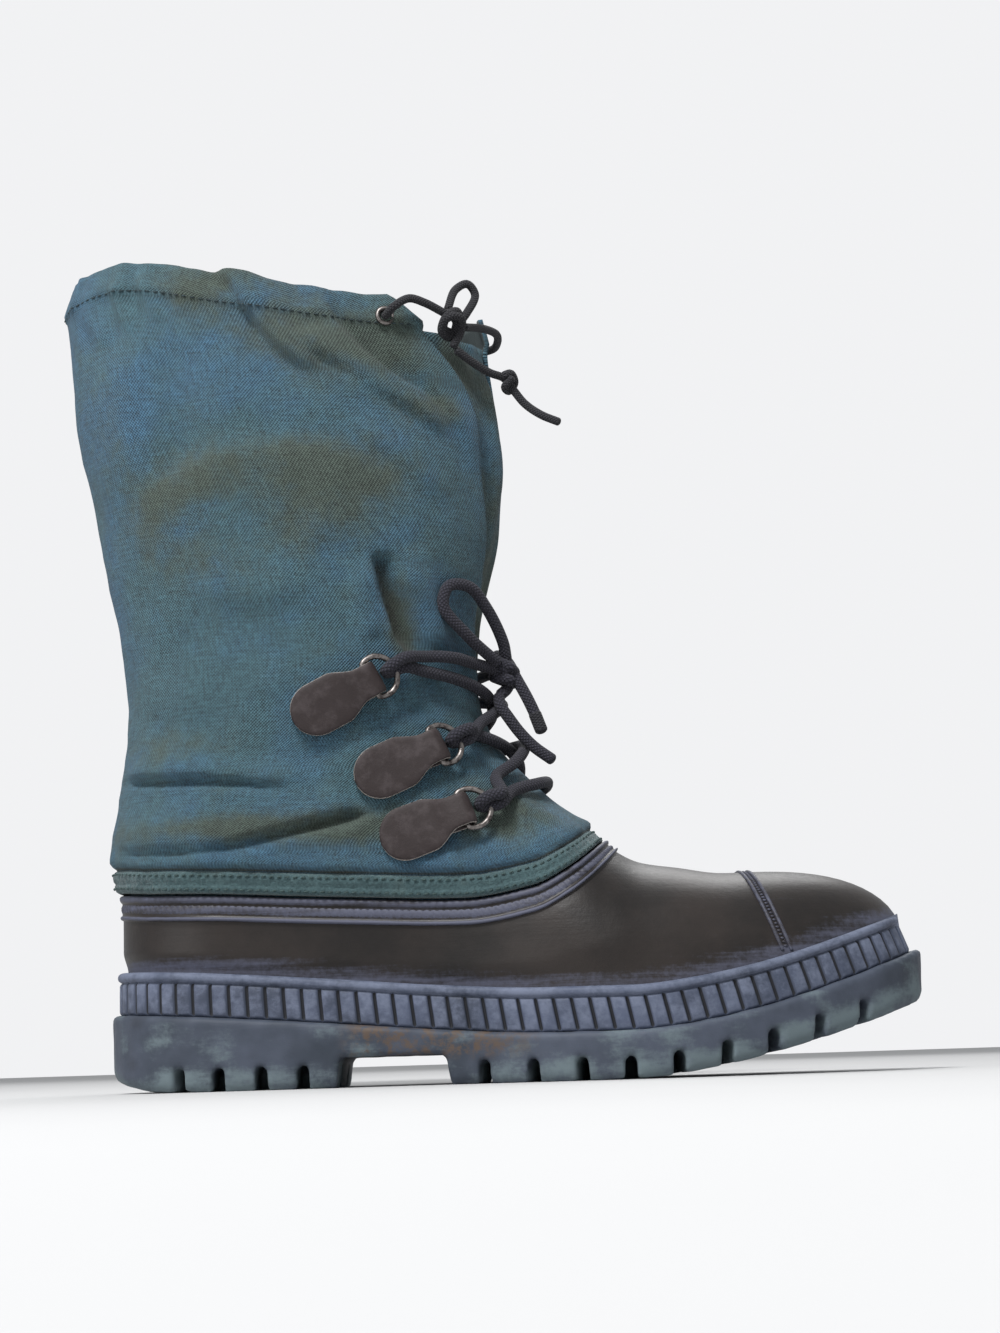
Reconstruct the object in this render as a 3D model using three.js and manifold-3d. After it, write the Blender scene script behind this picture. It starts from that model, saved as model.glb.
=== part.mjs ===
// Pac boot for the right foot: a moulded rubber shell on a lugged rubber outsole, a ribbed rubber band round
// their joint, and a laced nylon shaft with a bellows gusset and a drawcord at its collar.
// Millimetres: +X towards the toe, +Y towards the inner side of the foot, +Z up, and the floor at Z 0.
import * as THREE from 'three';
import { mergeVertices } from 'three/addons/utils/BufferGeometryUtils.js';
import Module from 'manifold-3d';

const wasm = await Module();
wasm.setup();

// Driving sizes of the sole
const SOLE_LENGTH = 325;
const BALL_WIDTH = 123;
const WAIST_WIDTH = 86;
const HEEL_WIDTH = 89;
const TOE_SWING = 7;
const TOE_SPRING = 28;
const HEEL_BEVEL = 6;
const HEEL_HEIGHT = 28.5;
const FORE_THICKNESS = 18.5;
const ARCH_CLEARANCE = 11.5;
const HEEL_BREAST = 91;
const TREAD_START = 136;
const TREAD_DEPTH = 8;
const LUG_GAP = 4.6;
const SIDE_LUG_LENGTH = 27;
const FORE_LUG_PITCH = 18.5;
const HEEL_LUG_PITCH = 16;
const SOLE_EDGE_BEVEL = 1.4;

// Driving sizes of the ribbed band
const BAND_LEDGE = 3;
const BAND_TOE_LEDGE = 4.6;
const BAND_TOE_LEAN = 5.5;
const BAND_THICKNESS = 2.8;
const RIB_HEIGHT = 12.6;
const RIB_PITCH = 7.1;
const RIB_RELIEF = 1.1;
const RIB_GROOVE = 1.5;
const LIP_HEIGHT = 4;
const LIP_RELIEF = 0.9;

// Driving sizes of the rubber shell and its insole
const SHELL_WALL = 2.6;
const SHELL_FLARE = 1.8;
const TOE_BOX_HEIGHT = 80.5;
const INSTEP_HEIGHT = 93.5;
const THROAT = 198;
const SHELL_BACK_HEIGHT = 79;
const SHELL_SIDE_HEIGHT = 72;
const BINDING_HEIGHT = 10;
const BINDING_RELIEF = 0.9;
const TOE_SEAM_WIDTH = 4;
const TOE_SEAM_RELIEF = 0.9;
const INSOLE_THICKNESS = 5;

// Driving sizes of the nylon shaft
const SHAFT_WALL = 2;
const BOOT_HEIGHT = 335;
const COLLAR_FRONT_HEIGHT = 318;
const SHAFT_DEPTH = 176;
const ANKLE_DEPTH = 148;
const SHAFT_WIDTH = 102;
const COLLAR_SAG = 6.5;
const HEM_HEIGHT = 13;
const TAPE_HEIGHT = 8.5;
const TUCK_DEPTH = 9;
const GUSSET_THICKNESS = 1.4;
const GUSSET_OVERLAP = 8;
const GUSSET_TOP = 302;
const GUSSET_FOOT = 129;

// Driving sizes of the lacing
const LACE_DIAMETER = 4.8;
const PATCH_WIDTH = 21;
const PATCH_LENGTH = 32;
const PATCH_THICKNESS = 2.2;
const PATCH_LIFT = 1;
const PATCH_NECK = 13;
const WIRE_DIAMETER = 2.4;
const RING_WIDTH = 19;
const RING_REACH = 11;
const LACE_LIFT = 1.5;
const DRAWCORD_DIAMETER = 3.4;
const GROMMET_DIAMETER = 8.5;
const GROMMET_HOLE = 4.2;
const GROMMET_THICKNESS = 0.9;

// Clearance between two pieces that meet
const GAP = 0.3;

const RING_POINTS = 44;
const BAND_POINTS = 60;
const FORM_EXPONENT = 2.35;
const TOE_EXPONENT = 2.15;

// Sole outline: half widths on the outer and inner side of its axis, at shares of the length
const PLAN = [
  { at: 0, outer: 0.5 * HEEL_WIDTH, inner: 0.5 * HEEL_WIDTH },
  { at: 0.15, outer: 0.5 * HEEL_WIDTH, inner: 0.5 * HEEL_WIDTH },
  { at: 0.38, outer: 0.53 * WAIST_WIDTH, inner: 0.47 * WAIST_WIDTH },
  { at: 0.64, outer: 0.51 * BALL_WIDTH, inner: 0.46 * BALL_WIDTH },
  { at: 0.76, outer: 0.5 * BALL_WIDTH, inner: 0.49 * BALL_WIDTH },
  { at: 1, outer: 0.47 * BALL_WIDTH, inner: 0.5 * BALL_WIDTH },
];
const HEEL_ROUND = 0.14;
const TOE_ROUND = 0.66;
const ROCKER_START = 0.63;
const ROCKER_POWER = 1.5;
const BEVEL_END = 0.09;

// Height of the sole above its own rocker line
const SOLE_HEIGHT = [
  { at: 0, height: 1.08 * HEEL_HEIGHT },
  { at: 0.12, height: HEEL_HEIGHT },
  { at: 0.28, height: 0.86 * HEEL_HEIGHT },
  { at: 0.4, height: 0.74 * HEEL_HEIGHT },
  { at: 0.53, height: FORE_THICKNESS },
  { at: 0.76, height: 0.98 * FORE_THICKNESS },
  { at: 0.92, height: 1.06 * FORE_THICKNESS },
  { at: 1, height: 1.1 * FORE_THICKNESS },
];

// Crest of the foot form: the toe box, the vamp and the instep up to the front of the ankle
const CREST = [
  { at: 0, height: 4.2 * INSTEP_HEIGHT },
  { at: 0.36, height: 2.5 * INSTEP_HEIGHT },
  { at: 0.43, height: 1.9 * INSTEP_HEIGHT },
  { at: 0.462, height: 1.53 * INSTEP_HEIGHT },
  { at: 0.495, height: 1.32 * INSTEP_HEIGHT },
  { at: 0.55, height: 1.19 * INSTEP_HEIGHT },
  { at: 0.58, height: 1.09 * INSTEP_HEIGHT },
  { at: THROAT / SOLE_LENGTH, height: INSTEP_HEIGHT },
  { at: 0.655, height: 0.915 * INSTEP_HEIGHT },
  { at: 0.7, height: 1.035 * TOE_BOX_HEIGHT },
  { at: 0.76, height: 1.0 * TOE_BOX_HEIGHT },
  { at: 1, height: 1.0 * TOE_BOX_HEIGHT },
];
const TOE_DOME_START = 0.78;
const TOE_DOME_EXPONENT = 2.6;

// Upper edge of the rubber shell, which also carries on forward above the vamp to cut the throat
const TOPLINE = [
  { at: 0, height: SHELL_BACK_HEIGHT },
  { at: 0.06, height: 0.6 * SHELL_BACK_HEIGHT + 0.4 * SHELL_SIDE_HEIGHT },
  { at: 0.16, height: 1.035 * SHELL_SIDE_HEIGHT },
  { at: 0.3, height: SHELL_SIDE_HEIGHT },
  { at: 0.44, height: 0.975 * SHELL_SIDE_HEIGHT },
  { at: 0.52, height: 1.03 * SHELL_SIDE_HEIGHT },
  { at: 0.56, height: 0.5 * (SHELL_SIDE_HEIGHT + 0.95 * INSTEP_HEIGHT) },
  { at: THROAT / SOLE_LENGTH, height: INSTEP_HEIGHT },
  { at: 0.68, height: 1.32 * INSTEP_HEIGHT },
  { at: 1, height: 2.6 * INSTEP_HEIGHT },
];

// Levels of the shaft from its tucked foot to the collar: rise above the shell's upper edge and growth of the
// foot form, the share of the level's oval in the mix of both, and how much higher the inner ring lies, if any.
const BACK_LEAN = -0.104 * SHAFT_DEPTH;
const UNDER_RIM = -(SHELL_WALL + 2 * GAP);
const SHAFT_ROWS = [
  { rise: -TUCK_DEPTH, grow: UNDER_RIM, oval: 0, inner: 0 },
  { rise: 1, grow: UNDER_RIM, oval: 0, inner: 2.2 },
  { rise: 1.4, grow: 2.6, oval: 0, inner: null },
  { rise: TAPE_HEIGHT, grow: 3.2, oval: 0, inner: 0 },
  { rise: TAPE_HEIGHT + 1, grow: 2, oval: 0, inner: null },
  { rise: TAPE_HEIGHT + 4, grow: 4.2, oval: 0.03, inner: 0 },
  { rise: 22, grow: 4.2, oval: 0.15, inner: 0 },
  { rise: 33, grow: 2.6, oval: 0.4, inner: 0 },
  { rise: 48, grow: 0.8, oval: 0.8, inner: 0 },
  { rise: 64, grow: 0, oval: 1, inner: 0 },
  { rise: 90, grow: 0, oval: 1, inner: 0 },
  { rise: 115, grow: 0, oval: 1, inner: 0 },
  { rise: 145, grow: 0, oval: 1, inner: 0 },
  { rise: 190, grow: 0, oval: 1, inner: 0 },
  { rise: 230, grow: 0, oval: 1, inner: null },
  { rise: 245, grow: 0, oval: 1, inner: 0 },
  { rise: 246, grow: 0, oval: 1, inner: null },
  { rise: 260, grow: 0, oval: 1, inner: 0 },
].map((row, at) => ({ at, ...row }));

// Ovals of the shaft on the same levels, as shares of the boot's height and the shaft's depth and width
const OVALS = [
  { at: 0, backZ: 0.21, frontZ: 0.29, back: 0.03, front: 1.14, half: 0.44, sag: 0 },
  { at: 5, backZ: 0.27, frontZ: 0.31, back: 0.01, front: 1.1, half: 0.45, sag: 0 },
  { at: 6, backZ: 0.3, frontZ: 0.335, back: 0.008, front: 1.04, half: 0.47, sag: 0 },
  { at: 7, backZ: 0.345, frontZ: 0.37, back: 0.014, front: 0.945, half: 0.47, sag: 0 },
  { at: 8, backZ: 0.395, frontZ: 0.412, back: 0.03, front: 0.882, half: 0.46, sag: 0 },
  { at: 9, backZ: 0.46, frontZ: 0.468, back: 0.038, front: 0.862, half: 0.46, sag: 0 },
  { at: 10, backZ: 0.54, frontZ: 0.543, back: 0.02, front: 0.866, half: 0.465, sag: 0 },
  { at: 11, backZ: 0.61, frontZ: 0.602, back: -0.004, front: 0.888, half: 0.48, sag: 0 },
  { at: 12, backZ: 0.69, frontZ: 0.67, back: -0.032, front: 0.913, half: 0.495, sag: 0 },
  { at: 13, backZ: 0.81, frontZ: 0.785, back: -0.078, front: 0.926, half: 0.5, sag: 0.25 },
].map((row) => ({
  at: row.at,
  backZ: row.backZ * BOOT_HEIGHT,
  frontZ: row.frontZ * BOOT_HEIGHT,
  back: row.back * SHAFT_DEPTH,
  front: row.front * SHAFT_DEPTH,
  half: row.half * SHAFT_WIDTH,
  sag: row.sag * COLLAR_SAG,
}));

// Levels of the collar's hem: drop is the share of the hem below its top
const COLLAR = [
  { at: 14, drop: 1.3, lean: 0, relief: -0.4 },
  { at: 15, drop: 1, lean: 0, relief: 0 },
  { at: 16, drop: 0.93, lean: 0, relief: 0.8 },
  { at: 17, drop: 0, lean: 1, relief: -0.6 },
].map(({ at, drop, lean, relief }) => ({
  at,
  backZ: BOOT_HEIGHT - drop * HEM_HEIGHT,
  frontZ: COLLAR_FRONT_HEIGHT - drop * HEM_HEIGHT,
  back: BACK_LEAN + 2.5 * lean - relief,
  front: BACK_LEAN + SHAFT_DEPTH + 1.6 - 1.6 * lean + relief,
  half: 0.46 * SHAFT_WIDTH - 2 * lean + relief,
  sag: COLLAR_SAG,
}));
const LEVELS = OVALS.concat(COLLAR);

// How the collar's edge lies above or below a straight line from back to front
const SAG = [
  { at: 0, lift: -0.2 },
  { at: 0.15, lift: 0.4 },
  { at: 0.4, lift: -0.5 },
  { at: 0.7, lift: -1 },
  { at: 0.9, lift: -0.5 },
  { at: 1, lift: 0 },
];

// Edges of the front opening in the shaft, seen from the front, at shares of the boot's height
const SLOT = [
  { at: 0.385, outer: -0.05 * SHAFT_WIDTH, inner: 0.05 * SHAFT_WIDTH },
  { at: 0.45, outer: -0.09 * SHAFT_WIDTH, inner: 0.09 * SHAFT_WIDTH },
  { at: 0.61, outer: -0.14 * SHAFT_WIDTH, inner: 0.13 * SHAFT_WIDTH },
  { at: 0.745, outer: -0.22 * SHAFT_WIDTH, inner: 0.11 * SHAFT_WIDTH },
  { at: 0.825, outer: -0.24 * SHAFT_WIDTH, inner: 0.08 * SHAFT_WIDTH },
  { at: 0.86, outer: -0.28 * SHAFT_WIDTH, inner: 0.06 * SHAFT_WIDTH },
  { at: 0.9, outer: -0.33 * SHAFT_WIDTH, inner: 0.05 * SHAFT_WIDTH },
  { at: 0.95, outer: -0.37 * SHAFT_WIDTH, inner: 0.04 * SHAFT_WIDTH },
  { at: 1.03, outer: -0.42 * SHAFT_WIDTH, inner: 0.03 * SHAFT_WIDTH },
];

// How far the gusset swells out through the opening, in millimetres of its own
const GUSSET_SWELL = 4.5;
const GUSSET_ROWS = [
  { at: 0, swell: 0 },
  { at: 0.3, swell: 0.1 },
  { at: 0.5, swell: 0.6 },
  { at: 0.7, swell: 1 },
  { at: 0.86, swell: 0.55 },
  { at: 1, swell: -0.6 },
];

// Lace rings on each side: where the bar of the ring lies, and how far its patch leans up to the front
const LACE_ROWS = [
  { name: 'low', x: 0.79 * ANKLE_DEPTH + 24, z: 0.306 * BOOT_HEIGHT, lean: 20 },
  { name: 'middle', x: 0.79 * ANKLE_DEPTH + 13, z: 0.383 * BOOT_HEIGHT, lean: 25 },
  { name: 'top', x: 0.79 * ANKLE_DEPTH - 11, z: 0.464 * BOOT_HEIGHT, lean: 27 },
];

// Lace runs from one side to the other, with how far each rises at the front above a level line
const LACE_RUNS = [
  { from: 'low', to: 'low', side: -1, rise: 12 },
  { from: 'low', to: 'middle', side: -1, rise: 5 },
  { from: 'low', to: 'middle', side: 1, rise: 5 },
  { from: 'middle', to: 'top', side: -1, rise: 6 },
  { from: 'middle', to: 'top', side: 1, rise: 6 },
];
const SIDES = [
  { name: 'outer', sign: -1 },
  { name: 'inner', sign: 1 },
];

const clamp = (value, low, high) => Math.min(high, Math.max(low, value));
const mix = (a, b, share) => a + (b - a) * share;
const smooth = (low, high, value) => {
  const share = clamp((value - low) / (high - low), 0, 1);
  return share * share * (3 - 2 * share);
};

// A column of a table at a place along it, on a curve that never overshoots its rows
function along(rows, column, at) {
  const last = rows.length - 1;
  if (at <= rows[0].at) return rows[0][column];
  if (at >= rows[last].at) return rows[last][column];
  const k = rows.findIndex((row) => row.at > at) - 1;
  const slope = (i) => (rows[i + 1][column] - rows[i][column]) / (rows[i + 1].at - rows[i].at);
  const tangent = (i) => {
    if (i === 0) return slope(0);
    if (i === last) return slope(last - 1);
    const before = slope(i - 1);
    const after = slope(i);
    return before * after <= 0 ? 0 : (2 * before * after) / (before + after);
  };
  const step = rows[k + 1].at - rows[k].at;
  const s = (at - rows[k].at) / step;
  const rise = s * s * (3 - 2 * s);
  return (
    mix(rows[k][column], rows[k + 1][column], rise) +
    step * (tangent(k) * s * (1 - s) ** 2 - tangent(k + 1) * s * s * (1 - s))
  );
}

// Where low to high first holds a root of a rising function
function solve(low, high, rising) {
  for (let i = 0; i < 34; i += 1) {
    const middle = (low + high) / 2;
    if (rising(middle) > 0) high = middle;
    else low = middle;
  }
  return (low + high) / 2;
}

// Heights of the sole
function rocker(x) {
  const share = x / SOLE_LENGTH;
  if (share < BEVEL_END) return HEEL_BEVEL * (1 - clamp(share, 0, 1) / BEVEL_END) ** 2;
  const lift = clamp((share - ROCKER_START) / (1 - ROCKER_START), 0, 1.1);
  return TOE_SPRING * lift ** ROCKER_POWER;
}

function soleTop(x) {
  const share = clamp(x / SOLE_LENGTH, 0, 1);
  const lift = clamp((share - ROCKER_START) / (1 - ROCKER_START), 0, 1);
  return TOE_SPRING * lift ** ROCKER_POWER + along(SOLE_HEIGHT, 'height', share);
}

// Half width factor that rounds the heel and the toe of an outline
function endRound(share) {
  if (share < HEEL_ROUND) return Math.sqrt(clamp(1 - (1 - share / HEEL_ROUND) ** 2, 0, 1));
  if (share <= TOE_ROUND) return 1;
  const reach = clamp((share - TOE_ROUND) / (1 - TOE_ROUND), 0, 1);
  return (1 - reach ** TOE_EXPONENT) ** (1 / TOE_EXPONENT);
}

const swing = (share) => TOE_SWING * smooth(0.55, 1, share);

// A point of the sole's outline drawn in by the given insets, at an angle round it from the heel
function planPoint(angle, inset, toeInset) {
  const share = (1 - Math.cos(angle)) / 2;
  const sign = angle <= Math.PI ? -1 : 1;
  const half = along(PLAN, sign < 0 ? 'outer' : 'inner', share) - inset;
  return new THREE.Vector2(
    inset + share * (SOLE_LENGTH - inset - toeInset),
    swing(share) + sign * half * endRound(share),
  );
}

const angles = (count) => Array.from({ length: count }, (_, i) => (2 * Math.PI * i) / count);

// Angles that space points evenly along the outline
function evenAngles(count, inset, toeInset) {
  const fine = angles(1440).map((angle) => planPoint(angle, inset, toeInset));
  const lengths = [0];
  fine.forEach((point, i) => {
    lengths.push(lengths[i] + point.distanceTo(fine[(i + 1) % fine.length]));
  });
  const total = lengths[fine.length];
  const found = (length) => {
    const k = Math.max(0, lengths.findIndex((reach) => reach > length) - 1);
    const share = (length - lengths[k]) / (lengths[k + 1] - lengths[k]);
    return (2 * Math.PI * (k + share)) / fine.length;
  };
  return { total, at: (share) => found(clamp(share, 0, 0.999999) * total) };
}

// A closed body from rings of points, each joined to the next and the last to the first, or capped across
function bodyFromRings(rings, closed) {
  const points = [];
  const faces = [];
  const starts = rings.map((ring) => {
    const start = points.length;
    points.push(...ring);
    return start;
  });
  const join = (a, b) => {
    const na = rings[a].length;
    const nb = rings[b].length;
    let i = 0;
    let j = 0;
    while (i < na || j < nb) {
      const p = starts[a] + (i % na);
      const q = starts[b] + (j % nb);
      if (j >= nb || (i < na && (i + 1) / na <= (j + 1) / nb)) {
        faces.push([p, starts[a] + ((i + 1) % na), q]);
        i += 1;
      } else {
        faces.push([p, starts[b] + ((j + 1) % nb), q]);
        j += 1;
      }
    }
  };
  rings.forEach((_, k) => {
    if (k + 1 < rings.length) join(k, k + 1);
    else if (closed) join(k, 0);
  });
  const cap = (k, flip) => {
    const n = rings[k].length;
    const put = (a, b, c) => {
      if (a !== b && b !== c && a !== c) faces.push(flip ? [a, c, b] : [a, b, c]);
    };
    for (let i = 0; i < n / 2; i += 1) {
      const [a, b] = [starts[k] + i, starts[k] + i + 1];
      const [c, d] = [starts[k] + ((n - i) % n), starts[k] + ((n - i - 1) % n)];
      put(a, b, c);
      put(b, d, c);
    }
  };
  if (!closed) {
    cap(0, true);
    cap(rings.length - 1, false);
  }
  return solid(points, faces);
}

// A manifold solid from points and triangles, turned to face outwards
function solid(points, faces) {
  const geometry = new THREE.BufferGeometry();
  geometry.setAttribute('position', new THREE.Float32BufferAttribute(points.flatMap((p) => [p.x, p.y, p.z]), 3));
  geometry.setIndex(faces.flat());
  return fromGeometry(geometry);
}

function fromGeometry(geometry) {
  const bare = geometry.clone();
  bare.deleteAttribute('normal');
  bare.deleteAttribute('uv');
  const merged = mergeVertices(bare, 1e-4);
  const build = (flip) => {
    const index = Array.from(merged.index.array);
    const kept = [];
    for (let i = 0; i < index.length; i += 3) {
      const [a, b, c] = index.slice(i, i + 3);
      if (a !== b && b !== c && a !== c) kept.push(...(flip ? [a, c, b] : [a, b, c]));
    }
    return new wasm.Manifold(
      new wasm.Mesh({
        numProp: 3,
        vertProperties: new Float32Array(merged.attributes.position.array),
        triVerts: new Uint32Array(kept),
      }),
    );
  };
  const made = build(false);
  return made.volume() > 0 ? made : build(true);
}

function toGeometry(manifold) {
  const mesh = manifold.getMesh();
  const positions = new Float32Array(mesh.numVert * 3);
  for (let i = 0; i < mesh.numVert; i += 1) {
    const start = i * mesh.numProp;
    positions.set(mesh.vertProperties.subarray(start, start + 3), i * 3);
  }
  const geometry = new THREE.BufferGeometry();
  geometry.setAttribute('position', new THREE.BufferAttribute(positions, 3));
  geometry.setIndex(new THREE.BufferAttribute(mesh.triVerts, 1));
  geometry.computeVertexNormals();
  return geometry;
}

// A box placed by its centre and turned about Z and then about its own Y
function block(size, centre, turn = 0, pitch = 0) {
  const geometry = new THREE.BoxGeometry(size[0], size[1], size[2]);
  geometry.rotateY(pitch);
  geometry.rotateZ(turn);
  geometry.translate(centre[0], centre[1], centre[2]);
  return fromGeometry(geometry);
}

// A prism from an outline in one plane: across Y for points in X and Z, across X for points in Y and Z
function prism(points, across, from, to) {
  const shape = new THREE.Shape(points.map(([a, b]) => new THREE.Vector2(a, b)));
  const geometry = new THREE.ExtrudeGeometry(shape, { depth: to - from, bevelEnabled: false });
  if (across === 'y') geometry.applyMatrix4(new THREE.Matrix4().set(1, 0, 0, 0, 0, 0, 1, from, 0, 1, 0, 0, 0, 0, 0, 1));
  else geometry.applyMatrix4(new THREE.Matrix4().set(0, 0, 1, from, 1, 0, 0, 0, 0, 1, 0, 0, 0, 0, 0, 1));
  return fromGeometry(geometry);
}

// A round cord along hand-placed points
function cordSolid(points, diameter, steps, sides = 8) {
  const curve = new THREE.CatmullRomCurve3(points.map((p) => new THREE.Vector3(...p)), false, 'centripetal');
  return tubeAlong(curve, diameter, steps, sides);
}

function tubeAlong(curve, diameter, steps, sides) {
  const shape = new THREE.Shape(
    angles(sides).map((a) => new THREE.Vector2(Math.cos(a), Math.sin(a)).multiplyScalar(diameter / 2)),
  );
  return fromGeometry(new THREE.ExtrudeGeometry(shape, { steps, bevelEnabled: false, extrudePath: curve }));
}

// Foot form: the ring where the form, grown by the given amount, crosses a height that depends on x
function crestHeight(x) {
  const share = x / SOLE_LENGTH;
  const line = along(CREST, 'height', share);
  if (share < TOE_DOME_START) return line;
  const tip = SOLE_LENGTH - BAND_TOE_LEDGE - BAND_THICKNESS - GAP + SHELL_FLARE;
  const start = TOE_DOME_START * SOLE_LENGTH;
  const reach = clamp((x - start) / (tip - start), 0, 1);
  const foot = soleTop(tip);
  return foot + (line - foot) * (1 - reach ** TOE_DOME_EXPONENT) ** (1 / TOE_DOME_EXPONENT);
}

function formRing(level, grow, flare = 0) {
  const inset = BAND_LEDGE + BAND_THICKNESS + GAP - grow - flare;
  const toeInset = BAND_TOE_LEDGE + BAND_THICKNESS + GAP - grow - flare;
  const length = SOLE_LENGTH - inset - toeInset;
  const foot = (x) => soleTop(x);
  const crest = (x) => crestHeight(clamp(x - grow, 0, SOLE_LENGTH)) + grow;
  const tip = inset + length;
  const start = 0.3 * SOLE_LENGTH;
  const front = level(tip) < crest(tip) + 1e-6 ? tip : solve(start, tip, (x) => level(x) - crest(x));
  return (angle) => {
    const x = inset + ((front - inset) * (1 - Math.cos(angle))) / 2;
    const sign = angle <= Math.PI ? -1 : 1;
    const share = clamp((x - inset) / length, 0, 1);
    const base = along(PLAN, sign < 0 ? 'outer' : 'inner', share) - inset;
    const fullness = clamp((level(x) - foot(x)) / (crest(x) - foot(x)), 0, 1);
    const arch = (1 - fullness ** FORM_EXPONENT) ** (1 / FORM_EXPONENT);
    return new THREE.Vector3(x, swing(share) + sign * base * endRound(share) * arch, level(x));
  };
}

const ringPoints = (ring, count = RING_POINTS) => angles(count).map(ring);
const bandTop = (x) => soleTop(x) + GAP + RIB_HEIGHT + LIP_HEIGHT;
const topline = (x) => along(TOPLINE, 'height', x / SOLE_LENGTH);

function outsole() {
  const lower = (x) => rocker(x);
  const side = (inset, height) =>
    angles(64).map((angle) => {
      const p = planPoint(angle, inset, inset);
      return new THREE.Vector3(p.x, p.y, height(p.x));
    });
  const body = bodyFromRings(
    [
      side(1.8, lower),
      side(0.4, (x) => lower(x) + 3),
      side(0, (x) => soleTop(x) - SOLE_EDGE_BEVEL),
      side(SOLE_EDGE_BEVEL, soleTop),
    ],
    false,
  );
  const wide = BALL_WIDTH;
  const waist = prism(
    [
      [HEEL_BREAST, -5],
      [HEEL_BREAST + 2, ARCH_CLEARANCE],
      [TREAD_START - 2, ARCH_CLEARANCE],
      [TREAD_START, -5],
    ],
    'y',
    -wide,
    wide,
  );
  const cuts = [waist];
  const edgePoint = (x, sign) => {
    const angle = Math.acos(1 - (2 * x) / SOLE_LENGTH);
    return planPoint(sign < 0 ? angle : 2 * Math.PI - angle, 0, 0);
  };
  const notch = (x, sign, length) => {
    const p = edgePoint(x, sign);
    const ahead = edgePoint(Math.min(x + 1, SOLE_LENGTH - 0.01), sign);
    const turn = Math.atan2(ahead.y - p.y, ahead.x - p.x);
    const inward = turn - (sign * Math.PI) / 2;
    const height = TREAD_DEPTH + 6;
    const top = rocker(x) + TREAD_DEPTH + 1.2;
    const reach = length / 2 - 4;
    return block(
      [LUG_GAP, length, height],
      [p.x + Math.cos(inward) * reach, p.y + Math.sin(inward) * reach, top - height / 2],
      turn,
      0,
    );
  };
  const foreCount = Math.floor((SOLE_LENGTH - 14 - TREAD_START) / FORE_LUG_PITCH);
  const heelCount = Math.floor((HEEL_BREAST - 18) / HEEL_LUG_PITCH);
  SIDES.forEach(({ sign }) => {
    for (let i = 0; i < foreCount; i += 1) {
      cuts.push(notch(TREAD_START + 12 + i * FORE_LUG_PITCH, sign, SIDE_LUG_LENGTH + 6));
    }
    for (let i = 0; i < heelCount; i += 1) {
      cuts.push(notch(HEEL_BREAST - 12 - i * HEEL_LUG_PITCH, sign, SIDE_LUG_LENGTH));
    }
  });
  // The channel that parts the side lugs from the middle ones, as straight runs between stations
  const channel = (from, to, inset, sign) => {
    const a = edgePoint(from, sign);
    const b = edgePoint(to, sign);
    const ends = [a, b].map((p, i) => {
      const x = i ? to : from;
      const middle = swing(x / SOLE_LENGTH);
      const y = p.y - sign * inset;
      return new THREE.Vector2(x, sign * (y - middle) > 4 ? y : middle + sign * 4);
    });
    const run = ends[1].clone().sub(ends[0]);
    const x = (from + to) / 2;
    const pitch = -Math.atan2(rocker(to) - rocker(from), to - from);
    const height = TREAD_DEPTH + 6;
    return block(
      [run.length() + 3, LUG_GAP, height],
      [x, (ends[0].y + ends[1].y) / 2, (rocker(from) + rocker(to)) / 2 + TREAD_DEPTH - height / 2],
      Math.atan2(run.y, run.x),
      pitch,
    );
  };
  const foreRuns = 5;
  const runLength = (SOLE_LENGTH - 38 - TREAD_START) / foreRuns;
  SIDES.forEach(({ sign }) => {
    for (let i = 0; i < foreRuns; i += 1) {
      const from = TREAD_START - 3 + i * runLength;
      cuts.push(channel(from, from + runLength, SIDE_LUG_LENGTH + (i % 2 ? 4 : 0), sign));
    }
    cuts.push(channel(26, HEEL_BREAST + 3, SIDE_LUG_LENGTH - 2, sign));
  });
  for (let i = 0; i < foreCount - 2; i += 1) {
    const x = TREAD_START + 4 + (i + 0.5) * FORE_LUG_PITCH;
    const height = TREAD_DEPTH + 6;
    cuts.push(block([LUG_GAP, 44, height], [x, swing(x / SOLE_LENGTH), rocker(x) + TREAD_DEPTH - height / 2]));
  }
  return cuts.reduce((left, cut) => left.subtract(cut), body);
}

function ribbedBand() {
  const outline = evenAngles(RING_POINTS, BAND_LEDGE, BAND_TOE_LEDGE);
  const ribs = Math.round(outline.total / RIB_PITCH);
  const groove = RIB_GROOVE / outline.total;
  const place = (share, height, relief) => {
    const angle = outline.at(share);
    const lean = (BAND_TOE_LEAN * height) / (RIB_HEIGHT + LIP_HEIGHT);
    const p = planPoint(angle, BAND_LEDGE - relief, BAND_TOE_LEDGE + lean - relief);
    return new THREE.Vector3(p.x, p.y, soleTop(p.x) + GAP + height);
  };
  const ribbed = (height) =>
    Array.from({ length: ribs }, (_, i) => {
      const start = i / ribs;
      return [
        place(start + groove / 2, height, 0),
        place(start + 1 / ribs - groove / 2, height, 0),
        place(start + 1 / ribs, height, -RIB_RELIEF),
      ];
    }).flat();
  const plain = (height, relief) =>
    Array.from({ length: BAND_POINTS }, (_, i) => place(i / BAND_POINTS, height, relief));
  const inner = (height) => {
    const ring = formRing((x) => soleTop(x) + GAP + height, 2.8 * GAP);
    const count = 2 * BAND_POINTS;
    return Array.from({ length: count }, (_, i) => ring(outline.at(i / count)));
  };
  const top = RIB_HEIGHT + LIP_HEIGHT;
  return bodyFromRings(
    [
      ribbed(0),
      ribbed(RIB_HEIGHT),
      plain(RIB_HEIGHT + 0.4, LIP_RELIEF),
      plain(top - 0.9, LIP_RELIEF),
      plain(top, -0.4),
      inner(top),
      inner(0),
    ],
    true,
  );
}

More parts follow.
